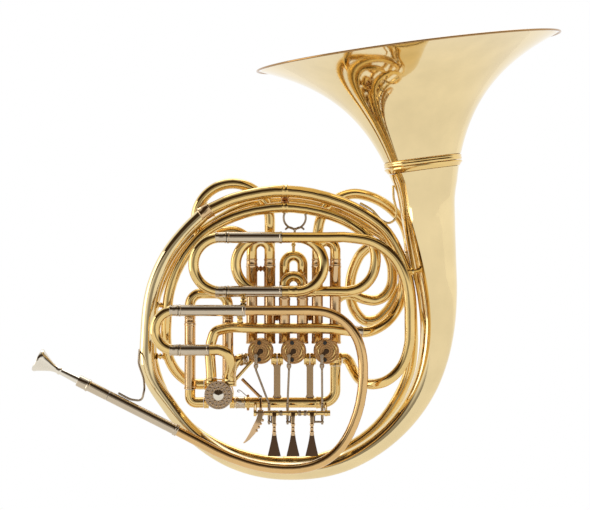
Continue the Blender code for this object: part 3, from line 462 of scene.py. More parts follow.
def rod(name, start, end, radius, hides=(), slot="brass", body="horn", steps=32):
    start = Vector(start)
    end = Vector(end)
    length = (end - start).length
    soft = min(SOFT, radius * 0.3)
    profile = [(0.0, length), (radius - soft, length), (radius, length - soft), (radius, soft),
            (radius - soft, 0.0), (0.0, 0.0)]
    return lathe(name, profile, start, end - start, hides, slot, body, steps)


def bead(name, place, radius, slot="brass", body="horn"):
    rows = 10
    profile = [(0.0, radius)]
    for k in range(1, rows):
        angle = math.pi * k / rows
        profile.append((radius * math.sin(angle), radius * math.cos(angle)))
    return lathe(name, profile + [(0.0, -radius)], place, (0, 0, 1), (), slot, body, 24)


def ferrule(name, place, direction, radius, length, slot="nickel_silver", body="horn"):
    """A joint band centred on the place, with a raised edge at each end."""
    half = length / 2
    step = 0.0005
    edge = 0.0009
    bore = -0.0006
    flank = ((step, half), (edge, half - 0.0006), (edge, half - 0.0012), (step, half - 0.0018))
    other = [(out, -height) for out, height in flank[::-1]]
    profile = skin(radius, (bore, half), *flank, *other, (bore, -half))
    return lathe(name, profile, place, Vector(direction).normalized(), (), slot, body, 40, True)


def strut(name, start, end, waist, slot="brass"):
    """A turned brace with flared feet and a bead halfway."""
    run = Vector(end) - Vector(start)
    length = run.length
    foot = waist * 1.8
    flare = min(0.0014, length * 0.24)
    half = length / 2
    profile = [(0.0, length), (foot, length), (foot, length - flare * 0.4), (waist, length - flare),
            (waist, half + waist * 0.7), (waist * 1.7, half), (waist, half - waist * 0.7),
            (waist, flare), (foot, flare * 0.4), (foot, 0.0), (0.0, 0.0)]
    return lathe(name, profile, start, run, (), slot, "horn", 24)


def band(name, stations, thickness, hides=(), slot="brass", body="horn"):
    """A flat bar lofted through (x, y, z, half width) stations, its edges bevelled."""
    work = bmesh.new()
    rows = []
    for i, (x, y, z, half) in enumerate(stations):
        before = stations[max(i - 1, 0)]
        after = stations[min(i + 1, len(stations) - 1)]
        run = Vector((0, after[1] - before[1], after[2] - before[2])).normalized()
        out = Vector((0, -run.z, run.y)) * (thickness / 2)
        corners = [(-half, 1), (half, 1), (half, -1), (-half, -1)]
        rows.append([work.verts.new(Vector((x + side, y, z)) + out * face) for side, face in corners])
    for lower, upper in zip(rows, rows[1:]):
        for k in range(4):
            work.faces.new((lower[k], lower[(k + 1) % 4], upper[(k + 1) % 4], upper[k]))
    work.faces.new(rows[0][::-1])
    work.faces.new(rows[-1])
    piece = add_mesh(name, work, hides, slot, body, math.radians(50))
    bevel = piece.modifiers.new("soften", "BEVEL")
    bevel.width = 0.0004
    bevel.segments = 3
    bevel.limit_method = "ANGLE"


def flare_radius(depth):
    return BELL_R * (1 + depth / BELL_FLARE) ** -2


def bell_axis():
    return Vector((-math.sin(BELL_TILT), 0.0, math.cos(BELL_TILT)))


def screw_ring(name, side, place, node, body):
    """One half of the screw ring, its side given from the top down."""
    profile = [(RING_BORE, RING_H)] + skin(RING_R, *side) + [(RING_BORE, 0.0)]
    lathe(name, profile, place, bell_axis(), [node], "brass", body, 128, True)


def bell():
    """The flare with its rolled rim, and both halves of its screw ring."""
    axis = bell_axis()
    ring = Vector(RING_CENTRE)
    base = ring + axis * (RING_H + 2 * GAP)
    rows = 60
    edge = 0.0012
    outer = []
    inner = []
    for i in range(rows + 1):
        depth = edge + (BELL_LENGTH - edge) * (i / rows) ** 1.5
        outer.append((flare_radius(depth), BELL_LENGTH - depth))
        inner.append((flare_radius(depth + BELL_WALL) - BELL_WALL, BELL_LENGTH - depth))
    lathe("bell", outer + inner[::-1], base, axis, ["bell_flare"], "bell_brass", "bell", 192, True)
    roll = []
    roll_r = 0.0011
    for k in range(12):
        angle = -math.tau * k / 12
        roll.append((BELL_R - roll_r + 0.0008 + roll_r * math.cos(angle),
                     BELL_LENGTH - roll_r + 0.0006 + roll_r * math.sin(angle)))
    # The rolled rim takes the darker brass, which is painted shade along the bell's edge.
    lathe("bell_rim", roll, base, axis, (), "painted_shade_rim_brass", "bell", 192, True)
    top = ((-0.0012, RING_H), (-0.0004, RING_H - 0.0004), (0.0, RING_H - 0.0012),
            (0.0, RING_H - 0.002), (-0.0005, RING_H - 0.0026), (0.0, 0.0018), (0.0, 0.001),
            (-0.0006, 0.0))
    screw_ring("bell_ring_turned", top, ring + axis * GAP, "bell_ring", "bell")
    low = ((-0.0006, RING_H), (0.0, RING_H - 0.0006), (0.0, RING_H - 0.0018),
            (-0.001, RING_H - 0.0026), (-0.0022, 0.0014), (-0.003, 0.0))
    screw_ring("throat_ring_turned", low, ring - axis * (RING_H + GAP), "throat_ring", "horn")


# Stations (x, z, radius) of the bell's tail and throat
THROAT = (
    (-0.0898, 0.1401, 0.0073), (-0.1076, 0.1228, 0.0074), (-0.126, 0.0995, 0.0075),
    (-0.1404, 0.0688, 0.0076), (-0.1476, 0.0213, 0.0077), (-0.1454, -0.0241, 0.0078),
    (-0.1269, -0.0542, 0.008), (-0.1071, -0.0792, 0.0081), (-0.0868, -0.0964, 0.0082),
    (-0.0632, -0.1102, 0.0083), (-0.032, -0.1198, 0.0085), (-0.0015, -0.1221, 0.0088),
    (0.0456, -0.1147, 0.0096), (0.0888, -0.091, 0.0105), (0.1127, -0.0676, 0.0115),
    (0.1324, -0.0362, 0.0131), (0.1421, -0.0056, 0.0153), (0.1462, 0.0264, 0.0177),
    (0.1457, 0.0568, 0.0204), (0.1418, 0.0924, 0.0235), (0.1376, 0.1279, 0.0267),
    (0.1347, 0.1605, 0.0298),
)


def throat():
    """The bell's tail and throat as one hollow tapered sweep in the bell's plane."""
    top = Vector(RING_CENTRE) - bell_axis() * (RING_H + 3 * GAP)
    neck = 0.012
    points = [(x, 0.0, z) for x, z, _ in THROAT] + [top - bell_axis() * neck, top]
    sizes = [r for _, _, r in THROAT]
    sizes += [flare_radius(BELL_LENGTH + 2 * RING_H + drop) for drop in (neck, 0.0)]
    path = graded_path(points, sizes, 0.04, 0.008)
    count = 72
    side = Vector((0, 1, 0))
    work = bmesh.new()
    shells = []
    for inset in (0.0, BELL_WALL):
        shell = []
        for i, (spot, radius) in enumerate(path):
            before = path[max(i - 1, 0)][0]
            after = path[min(i + 1, len(path) - 1)][0]
            up = (after - before).normalized().cross(side)
            size = radius - inset
            row = []
            for k in range(count):
                angle = math.tau * k / count
                arm = side * (size * math.cos(angle)) + up * (size * math.sin(angle))
                row.append(work.verts.new(spot + arm))
            shell.append(row)
        shells.append(shell)
    join_rows(work, shells[0] + shells[1][::-1], True)
    add_mesh("bell_throat_sweep", work, ["bell_throat"], "bell_brass")


def coil():
    """The outer coil, widening towards the bell's tail, and the first branch behind it."""
    joint = (-0.0036, -0.1145)
    route = flat(LAST, joint, (0.004, -0.1145), (0.0472, -0.104), (0.0827, -0.081),
            (0.1065, -0.0497), (0.119, -0.0193))
    route += [(0.1215, 0.022, 0.0061), (0.1203, 0.008, 0.032), (0.1188, 0.001, 0.052)]
    route += flat(0.0, (0.1155, 0.073), (0.1072, 0.0974), (0.0929, 0.1218), (0.0776, 0.135),
            (0.0573, 0.1467), (0.037, 0.1543), (0.0066, 0.1609), (-0.016, 0.1619), (-0.04, 0.159),
            (-0.064, 0.1527), (-0.088, 0.1415))
    path = trimmed(smooth_path(route), 0.0, 0.001)
    radii = [TUBE_R + (COIL_R - TUBE_R) * i / (len(path) - 1) for i in range(len(path))]
    tube("outer_coil_tube", path, COIL_R, ["outer_coil"], radii=radii)
    ferrule("coil_ferrule", (-0.0889, 0.0, 0.1408), (-0.024, 0.0, -0.0142), 0.0072, 0.013,
            "warm_nickel")
    branch = [BRANCH_PORT]
    branch += flat(THIRD, (BRANCH_PORT[0], 0.01), (-0.079, 0.0195), (-0.069, 0.0232),
            (-0.04, 0.0232), (0.0, 0.0232), (0.04, 0.0228), (0.059, 0.0205))
    branch += [(0.074, -0.008, 0.0195), (0.088, 0.002, 0.0245), (0.1, 0.011, 0.0345),
            (0.109, 0.0145, 0.05), (0.1122, 0.014, 0.0689), (0.111, 0.013, 0.0842),
            (0.103, 0.0128, 0.103), (0.0922, 0.013, 0.1168), (0.078, 0.017, 0.125),
            (0.0629, 0.023, 0.1345)]
    branch += flat(LAST, (0.0486, 0.1415), (0.0271, 0.1497), (0.0066, 0.1535), (-0.0138, 0.1545),
            (-0.0323, 0.1517), (-0.0548, 0.1445), (-0.0732, 0.1353), (-0.0957, 0.12),
            (-0.1162, 0.1005), (-0.1316, 0.077), (-0.1418, 0.0514), (-0.1454, 0.0206),
            (-0.1449, -0.0049), (-0.1387, -0.0305), (-0.1244, -0.0582), (-0.106, -0.0787),
            (-0.0804, -0.0961), (-0.0497, -0.1084), (-0.0241, -0.1135), (-0.011, -0.1145), joint)
    tube("first_branch_tube", trimmed(smooth_path(branch)), hides=["first_branch"])
    ferrule("branch_ferrule_bottom", branch[-1], (1, 0, 0), TUBE_R, 0.014, "brass")
    ferrule("branch_ferrule_front", (0.064, -0.0124, 0.0199), (0.015, 0.006, -0.001), TUBE_R, 0.01)


def leadpipe_line(x):
    return (x, FRONT, RECEIVER_END[1] - (x - RECEIVER_END[0]) * math.tan(LEADPIPE_SLOPE))


def leadpipe():
    """The leadpipe with its nickel jacket, the receiver and the mouthpiece."""
    run = Vector((math.cos(LEADPIPE_SLOPE), 0.0, -math.sin(LEADPIPE_SLOPE)))
    mouth = Vector(leadpipe_line(RECEIVER_END[0]))
    foot = mouth + run * RECEIVER_L
    route = [foot, leadpipe_line(-0.15), leadpipe_line(-0.118)]
    route += flat(FRONT, (-0.0936, -0.0905), (-0.0736, -0.101), (-0.0536, -0.1089),
            (-0.0335, -0.1144), (-0.0135, -0.1169), (0.0065, -0.1164), (0.0216, -0.1129),
            (0.034, -0.1069), (0.045, -0.0975), (0.054, -0.085), (0.061, -0.07), (0.066, -0.054),
            (0.0688, -0.0378), (0.0699, -0.0178), (0.0682, 0.0), (0.0636, 0.0143), (0.0561, 0.0255),
            (0.0456, 0.0345), (0.033, 0.04), (0.018, MAIN_UPPER_Z), (0.0, MAIN_UPPER_Z),
            (MAIN_UPPER_END, MAIN_UPPER_Z))
    tube("leadpipe_tube", trimmed(smooth_path(route), 0.0), LEADPIPE_R, ["leadpipe"], "rose_brass")
    jacket_end = leadpipe_line(JACKET_X)
    wall = 0.0003
    pipe("leadpipe_jacket", foot, jacket_end, LEADPIPE_R + wall, LEADPIPE_R - wall, (), "nickel_silver")
    ferrule("leadpipe_ferrule", jacket_end, run, LEADPIPE_R + 0.0002, 0.004)
    deep = RECEIVER_L - GAP
    profile = [(SHANK_BORE, deep)]
    profile += skin(LEADPIPE_R, (0.0003, deep), (0.0004, 0.014), (0.0006, 0.0128), (0.0014, 0.0122),
            (0.0014, 0.0108), (0.0009, 0.0102), (0.0009, 0.0008), (0.0005, 0.0002))
    profile += [(SHANK_BORE + 0.0006, 0.0002)]
    lathe("receiver_turned", profile, mouth, run, ["mouthpiece_receiver"], "nickel_silver", steps=48,
          ring=True)
    mouthpiece(mouth - run * GAP, run)


def mouthpiece(place, run):
    """Shank, turned stem and cup, then back down the throat's bore."""
    face = SHANK - MOUTHPIECE_L
    profile = [(SHANK_BORE - 0.0005, SHANK), (SHANK_BORE, 0.0), (0.0037, -0.001), (0.0034, -0.01),
            (0.0031, -0.0186), (0.0039, -0.0196), (0.004, -0.0208), (0.0033, -0.022),
            (0.0035, -0.025), (0.0046, -0.029), (0.0067, -0.0335), (0.009, face + 0.008),
            (0.0105, face + 0.005)]
    profile += skin(MOUTHPIECE_R, (0.0, face + 0.003), (0.0, face + 0.0012),
            (-0.0004, face + 0.0005), (-0.0012, face), (-0.0028, face), (-0.0037, face + 0.0006),
            (-0.0043, face + 0.002))
    profile += [(0.0054, face + 0.012), (0.003, face + 0.017), (0.002, -0.024), (0.0026, SHANK)]
    lathe("mouthpiece_turned", profile, place, run, ["mouthpiece"], "silver", "mouthpiece", 72, True)


def crook(name, legs, bow, body, node, bare=0.0012, slot="warm_nickel"):
    """A slide: its legs, its bow, and a nickel band over each joint and the bare run next to it."""
    first, last = Vector(legs[0]), Vector(legs[1])
    bow = [Vector(p) for p in bow]
    out = (first - bow[0]).normalized()
    back = (last - bow[-1]).normalized()
    neck = 0.0004
    path = [first, bow[0] + out * neck] + bow + [bow[-1] + back * neck, last]
    radii = [LEG_R, LEG_R] + [TUBE_R] * len(bow) + [LEG_R, LEG_R]
    tube(name + "_crook", path, TUBE_R, [node], "brass", body, radii)
    length = 0.0052 + bare
    for i, (spot, aim) in enumerate(((bow[0], out), (bow[-1], back)), 1):
        middle = spot + aim * (bare - length / 2)
        ferrule(f"{name}_band_{i}", middle, aim, TUBE_R - 0.0004, length, slot, body)


def sleeve(name, start, end, slot="nickel_silver"):
    pipe(name + "_sleeve", start, end, SLEEVE_R, SLEEVE_BORE, [name], slot, "horn", 0.0004)


def level_slide(name, node, high, low, crook_x, mouth_x, inside, depth):
    """A slide with level legs, joined at the left by half a round."""
    bow = arc((crook_x, (high + low) / 2), (high - low) / 2, 90, 270, depth)
    legs = flat(depth, (inside, high), (inside, low))
    crook(name, legs, bow, name, node, mouth_x - crook_x - GAP, "nickel_silver")


def main_slide():
    """The main tuning slide, its sleeves and the elbow down to the change valve."""
    high, low = MAIN_UPPER_Z, MAIN_LOWER_Z
    level_slide("main_slide", "main_tuning_slide", high, low, MAIN_CROOK_X, MAIN_SLEEVE_X,
                MAIN_SLEEVE_X + MAIN_TRAVEL + 0.005, FRONT)
    for name, z, end in (("upper", high, MAIN_UPPER_END), ("lower", low, MAIN_LOWER_END)):
        sleeve("main_sleeve_" + name, (MAIN_SLEEVE_X, FRONT, z), (end, FRONT, z))
    elbow = flat(FRONT, (MAIN_LOWER_END, MAIN_LOWER_Z), (-0.074, MAIN_LOWER_Z), (-0.0665, -0.0015))
    elbow += [(-0.063, -0.04, -0.009), (-0.063, -0.0345, -0.0165),
            (CHANGE_X + 0.0106, -0.0295, -0.023), (MAIN_PORT[0], SECOND, -0.0268), MAIN_PORT]
    tube("main_elbow_tube", trimmed(smooth_path(elbow)), hides=["main_slide_elbow"])


def f_side():
    """The F slide with its sleeves, its supply, the double return bow and the inner coil."""
    level_slide("f_slide", "f_main_slide", F_UPPER_Z, F_LOWER_Z, F_CROOK_X, F_SLEEVE_X,
                F_SLEEVE_X + F_TRAVEL + HELD_LEG, SECOND)
    for name, z in (("upper", F_UPPER_Z), ("lower", F_LOWER_Z)):
        sleeve(f"f_sleeve_{name}", (F_SLEEVE_X, SECOND, z), (F_SLEEVE_END, SECOND, z))
    supply = flat(SECOND, (F_SLEEVE_END, F_UPPER_Z), (0.03, F_UPPER_Z), (0.056, F_UPPER_Z),
            (0.082, 0.1095), (0.1015, 0.0944), (0.1122, 0.074), (0.1162, 0.0522), (0.117, 0.028),
            (0.1162, 0.0069), (0.1085, -0.015), (0.0935, -0.029))
    supply += [(0.079, -0.02, -0.0329), (0.0665, -0.003, -0.028), (0.06, 0.009, -0.018),
            (0.056, 0.013, -0.0105), (0.053, REAR, STUB_Z), (RIGHT_STUB_X, REAR, STUB_Z)]
    tube("f_supply", trimmed(smooth_path(supply)), hides=["f_supply_tube"])
    radius = (F_UPPER_Z - F_LOWER_Z) / 2
    middle = (F_UPPER_Z + F_LOWER_Z) / 2
    bow = flat(SECOND, (F_SLEEVE_END, F_LOWER_Z))
    bow += arc((F_TURN_X, middle), radius, -90, 90, SECOND, THIRD)
    bow += arc((F_BACK_X, middle), radius, 90, 270, THIRD)
    bow += flat(THIRD, (F_JOINT_X, F_LOWER_Z))
    tube("f_return", trimmed(bow), hides=["f_return_bow"])
    inner = flat(THIRD, (F_JOINT_X, F_LOWER_Z), (0.04, F_LOWER_Z), (0.056, 0.0608))
    inner += [(0.068, -0.0135, 0.0645), (0.0773, -0.013, 0.073), (0.0829, -0.012, 0.0903),
            (0.0803, -0.0095, 0.1075), (0.0692, -0.005, 0.121)]
    inner += flat(0.0, (0.0573, 0.1292), (0.037, 0.138), (0.0117, 0.1441), (-0.0086, 0.1457),
            (-0.0289, 0.1441), (-0.0492, 0.1401), (-0.0726, 0.1309), (-0.0898, 0.1198),
            (-0.1051, 0.1035), (-0.1172, 0.0842), (-0.1254, 0.0619), (-0.1289, 0.0315))
    inner += [(-0.1289, 0.003, 0.0061), (-0.1254, 0.009, -0.0112), (-0.1165, 0.013, -0.0245),
            (-0.105, REAR, -0.0325), (-0.098, REAR, INNER_PORT[2]), INNER_PORT]
    tube("f_inner", trimmed(smooth_path(inner)), hides=["f_inner_coil"])
    for i, (x, depth) in enumerate(((F_TURN_X - 0.004, SECOND), (F_JOINT_X, THIRD)), 1):
        ferrule(f"f_joint_{i}", (x, depth, F_LOWER_Z), (1, 0, 0), TUBE_R, 0.009, "brass")


def b_flat_side():
    """The thumb slide with its sleeves, the bottom tube and the link to the first valve."""
    turn = 0.012
    legs = flat(0.0, *((x, B_SLEEVE_Z - B_TRAVEL - HELD_LEG) for x in (B_LEFT_X, B_RIGHT_X)))
    bow = flat(0.0, (B_LEFT_X, B_SLEEVE_Z + MOUTH_RIM))
    bow += arc((B_LEFT_X + turn, B_TOP_Z - turn), turn, 180, 90, 0.0, steps=16)
    bow += arc((B_RIGHT_X - turn, B_TOP_Z - turn), turn, 90, 0, 0.0, steps=16)
    bow += flat(0.0, (B_RIGHT_X, B_SLEEVE_Z + MOUTH_RIM))
    crook("thumb_slide", legs, bow, "thumb_slide", "thumb_valve_slide")
    for name, x, foot in (("right", B_RIGHT_X, B_RIGHT_FOOT_Z), ("left", B_LEFT_X, B_LEFT_FOOT_Z)):
        sleeve(f"thumb_slide_sleeve_{name}", (x, 0.0, foot), (x, 0.0, B_SLEEVE_Z), "warm_nickel")
    elbow = bent_path([(B_LEFT_X, 0.0, B_LEFT_FOOT_Z), (B_LEFT_X, 0.0, PORT_Z), LEFT_PORT], 0.01)
    tube("thumb_elbow_tube", trimmed(elbow), hides=["thumb_slide_elbow"])
    bottom = [RIGHT_PORT, (LOOP_X, 0.0, PORT_Z), (LOOP_X, 0.0, BOTTOM_STUB_Z)]
    tube("bottom_tube_run", trimmed(bent_path(bottom, 0.013)), hides=["bottom_tube"])
    clamp_x = -0.0462
    for name, x, length, slot in (("bottom_ferrule_1", -0.054, 0.0095, "nickel_silver"),
                                  ("bottom_ferrule_2", 0.028, 0.01, "brass"),
                                  ("spring_clamp", clamp_x, 0.0034, "brass")):
        ferrule(name, (x, 0.0, PORT_Z), (1, 0, 0), TUBE_R, length, slot)
    for i, rise in enumerate((TUBE_R + 0.0014, -TUBE_R - 0.0014), 1):
        bead(f"spring_clamp_screw_{i}", (clamp_x, 0.0, PORT_Z + rise), 0.0014, "plate")
    lead = (Vector(LINK_END) - Vector((-VALVE_PITCH - 0.009, 0.0, STUB_Z))).normalized()
    link = [LINK_PORT, (LINK_PORT[0], THIRD, -0.025), (-0.0618, -0.0136, -0.0155),
            (-0.0572, -0.0108, -0.0095), Vector(LINK_END) + lead * 0.004, LINK_END]
    tube("valve_link", trimmed(smooth_path(link)), hides=["valve_link_tube"])


def valve_slides():
    """The four short valve slides with a half round bow, then the two long ones."""
    for word, side, x, top, mouth, travel, depth in (
            ("first", "front", -VALVE_PITCH, FRONT_TOP_Z, SLEEVE_TOP_Z, VALVE_TRAVEL, 0.0),
            ("second", "front", 0.0, MIDDLE_FRONT_Z, MIDDLE_SLEEVE_FRONT_Z, MIDDLE_TRAVEL, 0.0),
            ("second", "rear", 0.0, MIDDLE_REAR_Z, MIDDLE_SLEEVE_REAR_Z, MIDDLE_TRAVEL, REAR),
            ("third", "front", VALVE_PITCH, FRONT_TOP_Z, SLEEVE_TOP_Z, VALVE_TRAVEL, 0.0)):
        node = f"{word}_valve_slide_{side}"
        left, right = x - SLIDE_OFFSET, x + SLIDE_OFFSET
        inside = mouth - travel - HELD_LEG
        bow = flat(depth, (left, mouth + MOUTH_RIM)) + arc((x, top), SLIDE_OFFSET, 180, 0, depth)
        bow += flat(depth, (right, mouth + MOUTH_RIM))
        crook(node, flat(depth, (left, inside), (right, inside)), bow, f"{word}_{side}_slide", node)
    wide_slide()
    right_slide()


def wide_slide():
    """The first valve's rear slide, with the wide bow at upper left."""
    left = -VALVE_PITCH - SLIDE_OFFSET
    right = -VALVE_PITCH + SLIDE_OFFSET
    inside = SLEEVE_TOP_Z - CROOK_TRAVEL - HELD_LEG
    mouth = SLEEVE_TOP_Z + MOUTH_RIM
    radius = 0.0377
    wide = arc((right - radius, 0.1326), radius, 0, 180, REAR)
    tail = [wide[-1]]
    tail += flat(REAR, (right - 2 * radius, 0.127), (-0.095, 0.1185), (-0.087, 0.1172),
            (-0.0729, 0.1205), (-0.06, 0.1215), (-0.049, 0.116), (left - 0.0006, 0.106),
            (left, 0.096))
    bow = flat(REAR, (right, mouth)) + wide + smooth_path(tail)[1:] + flat(REAR, (left, mouth))
    legs = flat(REAR, (right, inside), (left, inside))
    crook("first_rear", legs, bow, "first_rear_slide", "first_valve_slide_rear")


def right_slide():
    """The third valve's rear slide, with the bow at upper right and the loop that it feeds."""
    x = VALVE_PITCH - SLIDE_OFFSET
    legs = [(x, REAR, SLEEVE_TOP_Z - BOW_TRAVEL - HELD_LEG), (BOW_X, BOW_Y, 0.081)]
    bow = flat(REAR, (x, SLEEVE_TOP_Z + MOUTH_RIM), (x, 0.115), (0.028, 0.1352))
    bow += [(0.0372, 0.016, 0.1495), (0.0485, 0.02, 0.1567), (0.0598, 0.023, 0.1598),
            (0.0803, 0.027, 0.1563), (0.0989, 0.03, 0.1456)]
    bow += flat(BOW_Y, (0.1122, 0.1302), (0.118, 0.112), (BOW_X, 0.102))
    crook("third_rear", legs, smooth_path(bow), "third_rear_slide", "third_valve_slide_rear")
    sleeve("third_bow_sleeve", (BOW_X, BOW_Y, BOW_SLEEVE_Z), (BOW_X, BOW_Y, 0.1))
    loop = flat(BOW_Y, (BOW_X, BOW_SLEEVE_Z), (BOW_X, 0.0755))
    loop += [(0.1155, 0.0315, 0.0685), (0.11, 0.031, 0.064), (0.105, 0.031, 0.0544),
            (0.0958, 0.031, 0.04), (0.0845, 0.031, 0.0308), (0.0735, 0.031, 0.03),
            (0.0635, 0.03, 0.0395), (0.0585, 0.029, 0.0534), (0.058, 0.028, 0.0677),
            (0.0619, 0.026, 0.0852), (0.071, 0.0225, 0.101), (0.0815, 0.0205, 0.1075),
            (0.0925, 0.0208, 0.103), (0.099, 0.021, 0.0923), (0.1012, 0.021, 0.0791),
            (0.0988, 0.0208, 0.0637), (0.0918, 0.02, 0.0545), (0.0832, 0.02, 0.051),
            (0.072, 0.018, 0.0525), (0.06, 0.016, 0.057)]
    loop += flat(REAR, (0.05, 0.0565), (0.044, 0.052), (LOOP_X, 0.0445), (LOOP_X, LOOP_Z))
    tube("third_loop", trimmed(smooth_path(loop)), hides=["third_valve_loop"])


def casing(name, x, z, radius, front, sleeves, stubs):
    """The valve's casing with its collars, slide sleeves and port stubs."""
    length = VALVE_BACK - front
    collar = 0.0006
    bore = radius - VALVE_WALL
    profile = [(bore, length)]
    profile += skin(radius, (-SOFT, length), (0.0, length - 0.0004), (0.0, length - 0.003),
            (-collar, length - 0.0036), (-collar, 0.0036), (0.0, 0.003), (0.0, 0.0004), (-SOFT, 0.0))
    profile += [(bore, 0.0)]
    lathe(name + "_body", profile, (x, front, z), (0, 1, 0), [name], "brass", "horn", 72, True)
    for i, (offset, depth, top) in enumerate(sleeves, 1):
        foot = (x + offset, depth, z + math.sqrt((radius - 0.0012) ** 2 - offset ** 2))
        pipe(f"{name}_sleeve_{i}", foot, (x + offset, depth, top), SLEEVE_R, SLEEVE_BORE, (),
             "warm_nickel", "horn", 0.0003)
    for i, (start, end) in enumerate(stubs, 1):
        pipe(f"{name}_stub_{i}", start, end, SLEEVE_R, SLEEVE_BORE, lip=0.0003)


def valves():
    """Valves 1 to 3 with their stubs and trim."""
    half = VALVE_PITCH / 2 - GAP / 2
    tops = ((SLEEVE_TOP_Z,) * 4, (MIDDLE_SLEEVE_FRONT_Z,) * 2 + (MIDDLE_SLEEVE_REAR_Z,) * 2,
            (SLEEVE_TOP_Z,) * 3 + (LOOP_Z,))
    places = ((-SLIDE_OFFSET, 0.0), (SLIDE_OFFSET, 0.0), (-SLIDE_OFFSET, REAR), (SLIDE_OFFSET, REAR))
    for i, word in enumerate(("first", "second", "third")):
        x = (i - 1) * VALVE_PITCH
        sleeves = [(offset, depth, top) for (offset, depth), top in zip(places, tops[i])]
        stubs = [((x - STUB_IN, 0.0, STUB_Z), (x - half, 0.0, STUB_Z) if i else LINK_END)]
        if i < 2:
            stubs.append(((x + STUB_IN, 0.0, STUB_Z), (x + half, 0.0, STUB_Z)))
        else:
            stubs.append(((LOOP_X, 0.0, -0.009), (LOOP_X, 0.0, BOTTOM_STUB_Z)))
            stubs.append(((x + STUB_IN, REAR, STUB_Z), (RIGHT_STUB_X, REAR, STUB_Z)))
        casing(f"{word}_valve_casing", x, 0.0, VALVE_R, VALVE_FRONT, sleeves, stubs)
        face = valve_ends(f"{word}_valve", x, 0.0, VALVE_R, VALVE_FRONT, "plate")
        scrolls(f"{word}_valve_scroll", x, face)
        bumpers(f"{word}_valve", x, face)
    change_valve()


def change_valve():
    """The valve under the thumb, with seven stubs and two rings of petals on its cap."""
    x, z = CHANGE_X, CHANGE_Z
    slide_port = (B_RIGHT_X, 0.0, B_RIGHT_FOOT_Z - GAP)
    rises = ((BRANCH_PORT, 0.0115), (slide_port, 0.011), (MAIN_PORT, 0.009), (LINK_PORT, 0.008))
    stubs = [((port[0], port[1], z + rise), port) for port, rise in rises]
    stubs += [((x + side * STUB_IN, port[1], port[2]), port)
              for port, side in ((INNER_PORT, -1), (LEFT_PORT, -1), (RIGHT_PORT, 1))]
    casing("thumb_valve_casing", x, z, CHANGE_R, CHANGE_FRONT, [], stubs)
    face = valve_ends("thumb_valve", x, z, CHANGE_R, CHANGE_FRONT, "engraved")
    petals("thumb_valve_petals_outer", face, 18, 0.77, 0.13)
    petals("thumb_valve_petals_inner", face, 12, 0.5, 0.1)
    cone()


def valve_ends(name, x, z, radius, front, slot):
    """Grooved front plate and rear cap; gives the depth of the plate's sunk face."""
    low = front - PLATE_T - GAP
    face = low + 0.0003
    spindle = 0.0027
    profile = [(spindle, front - GAP)]
    profile += skin(radius, (-0.0001, front - GAP), (0.0, front - GAP - 0.0004), (0.0, low + 0.0008),
            (-0.0006, low), (-0.0014, low), (-0.0017, face))
    for reach in (0.7, 0.52, 0.34):
        groove = ((0.0004, face), (0.0002, low), (-0.0002, low), (-0.0004, face))
        profile += skin(radius * reach, *groove)
    profile += [(spindle, face)]
    lathe(name + "_plate", profile, (x, 0.0, z), (0, 1, 0), [name + "_front_plate"], slot, steps=72,
          ring=True)
    back = [(0.0, 0.0048), (radius * 0.25, 0.0048), (radius * 0.28, 0.0043)]
    back += skin(radius, (-0.0026, 0.0043), (-0.0022, 0.0048), (-0.0008, 0.0048), (0.0, 0.004),
                 (0.0, GAP))
    back += [(0.0, GAP)]
    lathe(name + "_back_cap", back, (x, VALVE_BACK, z), (0, 1, 0), [name + "_rear_cap"], steps=72)
    return face


def petals(name, face, count, reach, half):
    """Pointed petals raised in a ring round the change valve's cap."""
    work = bmesh.new()
    sides = 12
    for k in range(count):
        angle = math.tau * k / count
        out = Vector((math.cos(angle), 0.0, math.sin(angle)))
        side = Vector((-out.z, 0.0, out.x))
        centre = Vector((CHANGE_X, face + 0.0002, CHANGE_Z)) + out * CHANGE_R * reach
        crest = work.verts.new(centre + Vector((0, -0.0012, 0)))
        foot = []
        for j in range(sides):
            turn = math.tau * j / sides
            foot.append(work.verts.new(centre + out * (CHANGE_R * half * math.cos(turn))
                                       + side * (CHANGE_R * 2.2 * reach / count * math.sin(turn))))
        for j in range(sides):
            work.faces.new((foot[j], foot[(j + 1) % sides], crest))
    add_mesh(name, work, (), "post_brass")


def scrolls(name, x, face):
    """Raised crescents round the centre of a bearing plate."""
    steps = 14
    widths = [0.00015 + 0.0009 * math.sin(math.pi * k / steps) for k in range(steps + 1)]
    crescents = ((0.8, -70, -15), (0.8, 5, 48), (0.62, -48, 38), (0.8, 128, 168), (0.62, 140, 205))
    for i, (reach, start, end) in enumerate(crescents, 1):
        path = arc((x, 0.0), VALVE_R * reach, start, end, face, steps=steps)
        tube(f"{name}_{i}", path, 0.001, radii=widths, sides=2)


def bumpers(name, x, face):
    """Two rubber bumpers in their cups, one above the plate's centre and one below."""
    away = Vector((0, -0.0047, 0))
    reach = 0.0087
    for i, side in enumerate((1, -1), 1):
        angle = math.pi + side * math.radians(80)
        spot = Vector((x + reach * math.cos(angle), face, reach * math.sin(angle)))
        pipe(f"{name}_bumper_cup_{i}", spot, spot + away * 0.6, 0.0026, 0.002, (), "plate")
        rod(f"{name}_bumper_{i}", spot, spot + away, 0.0021, (), "rubber", steps=20)


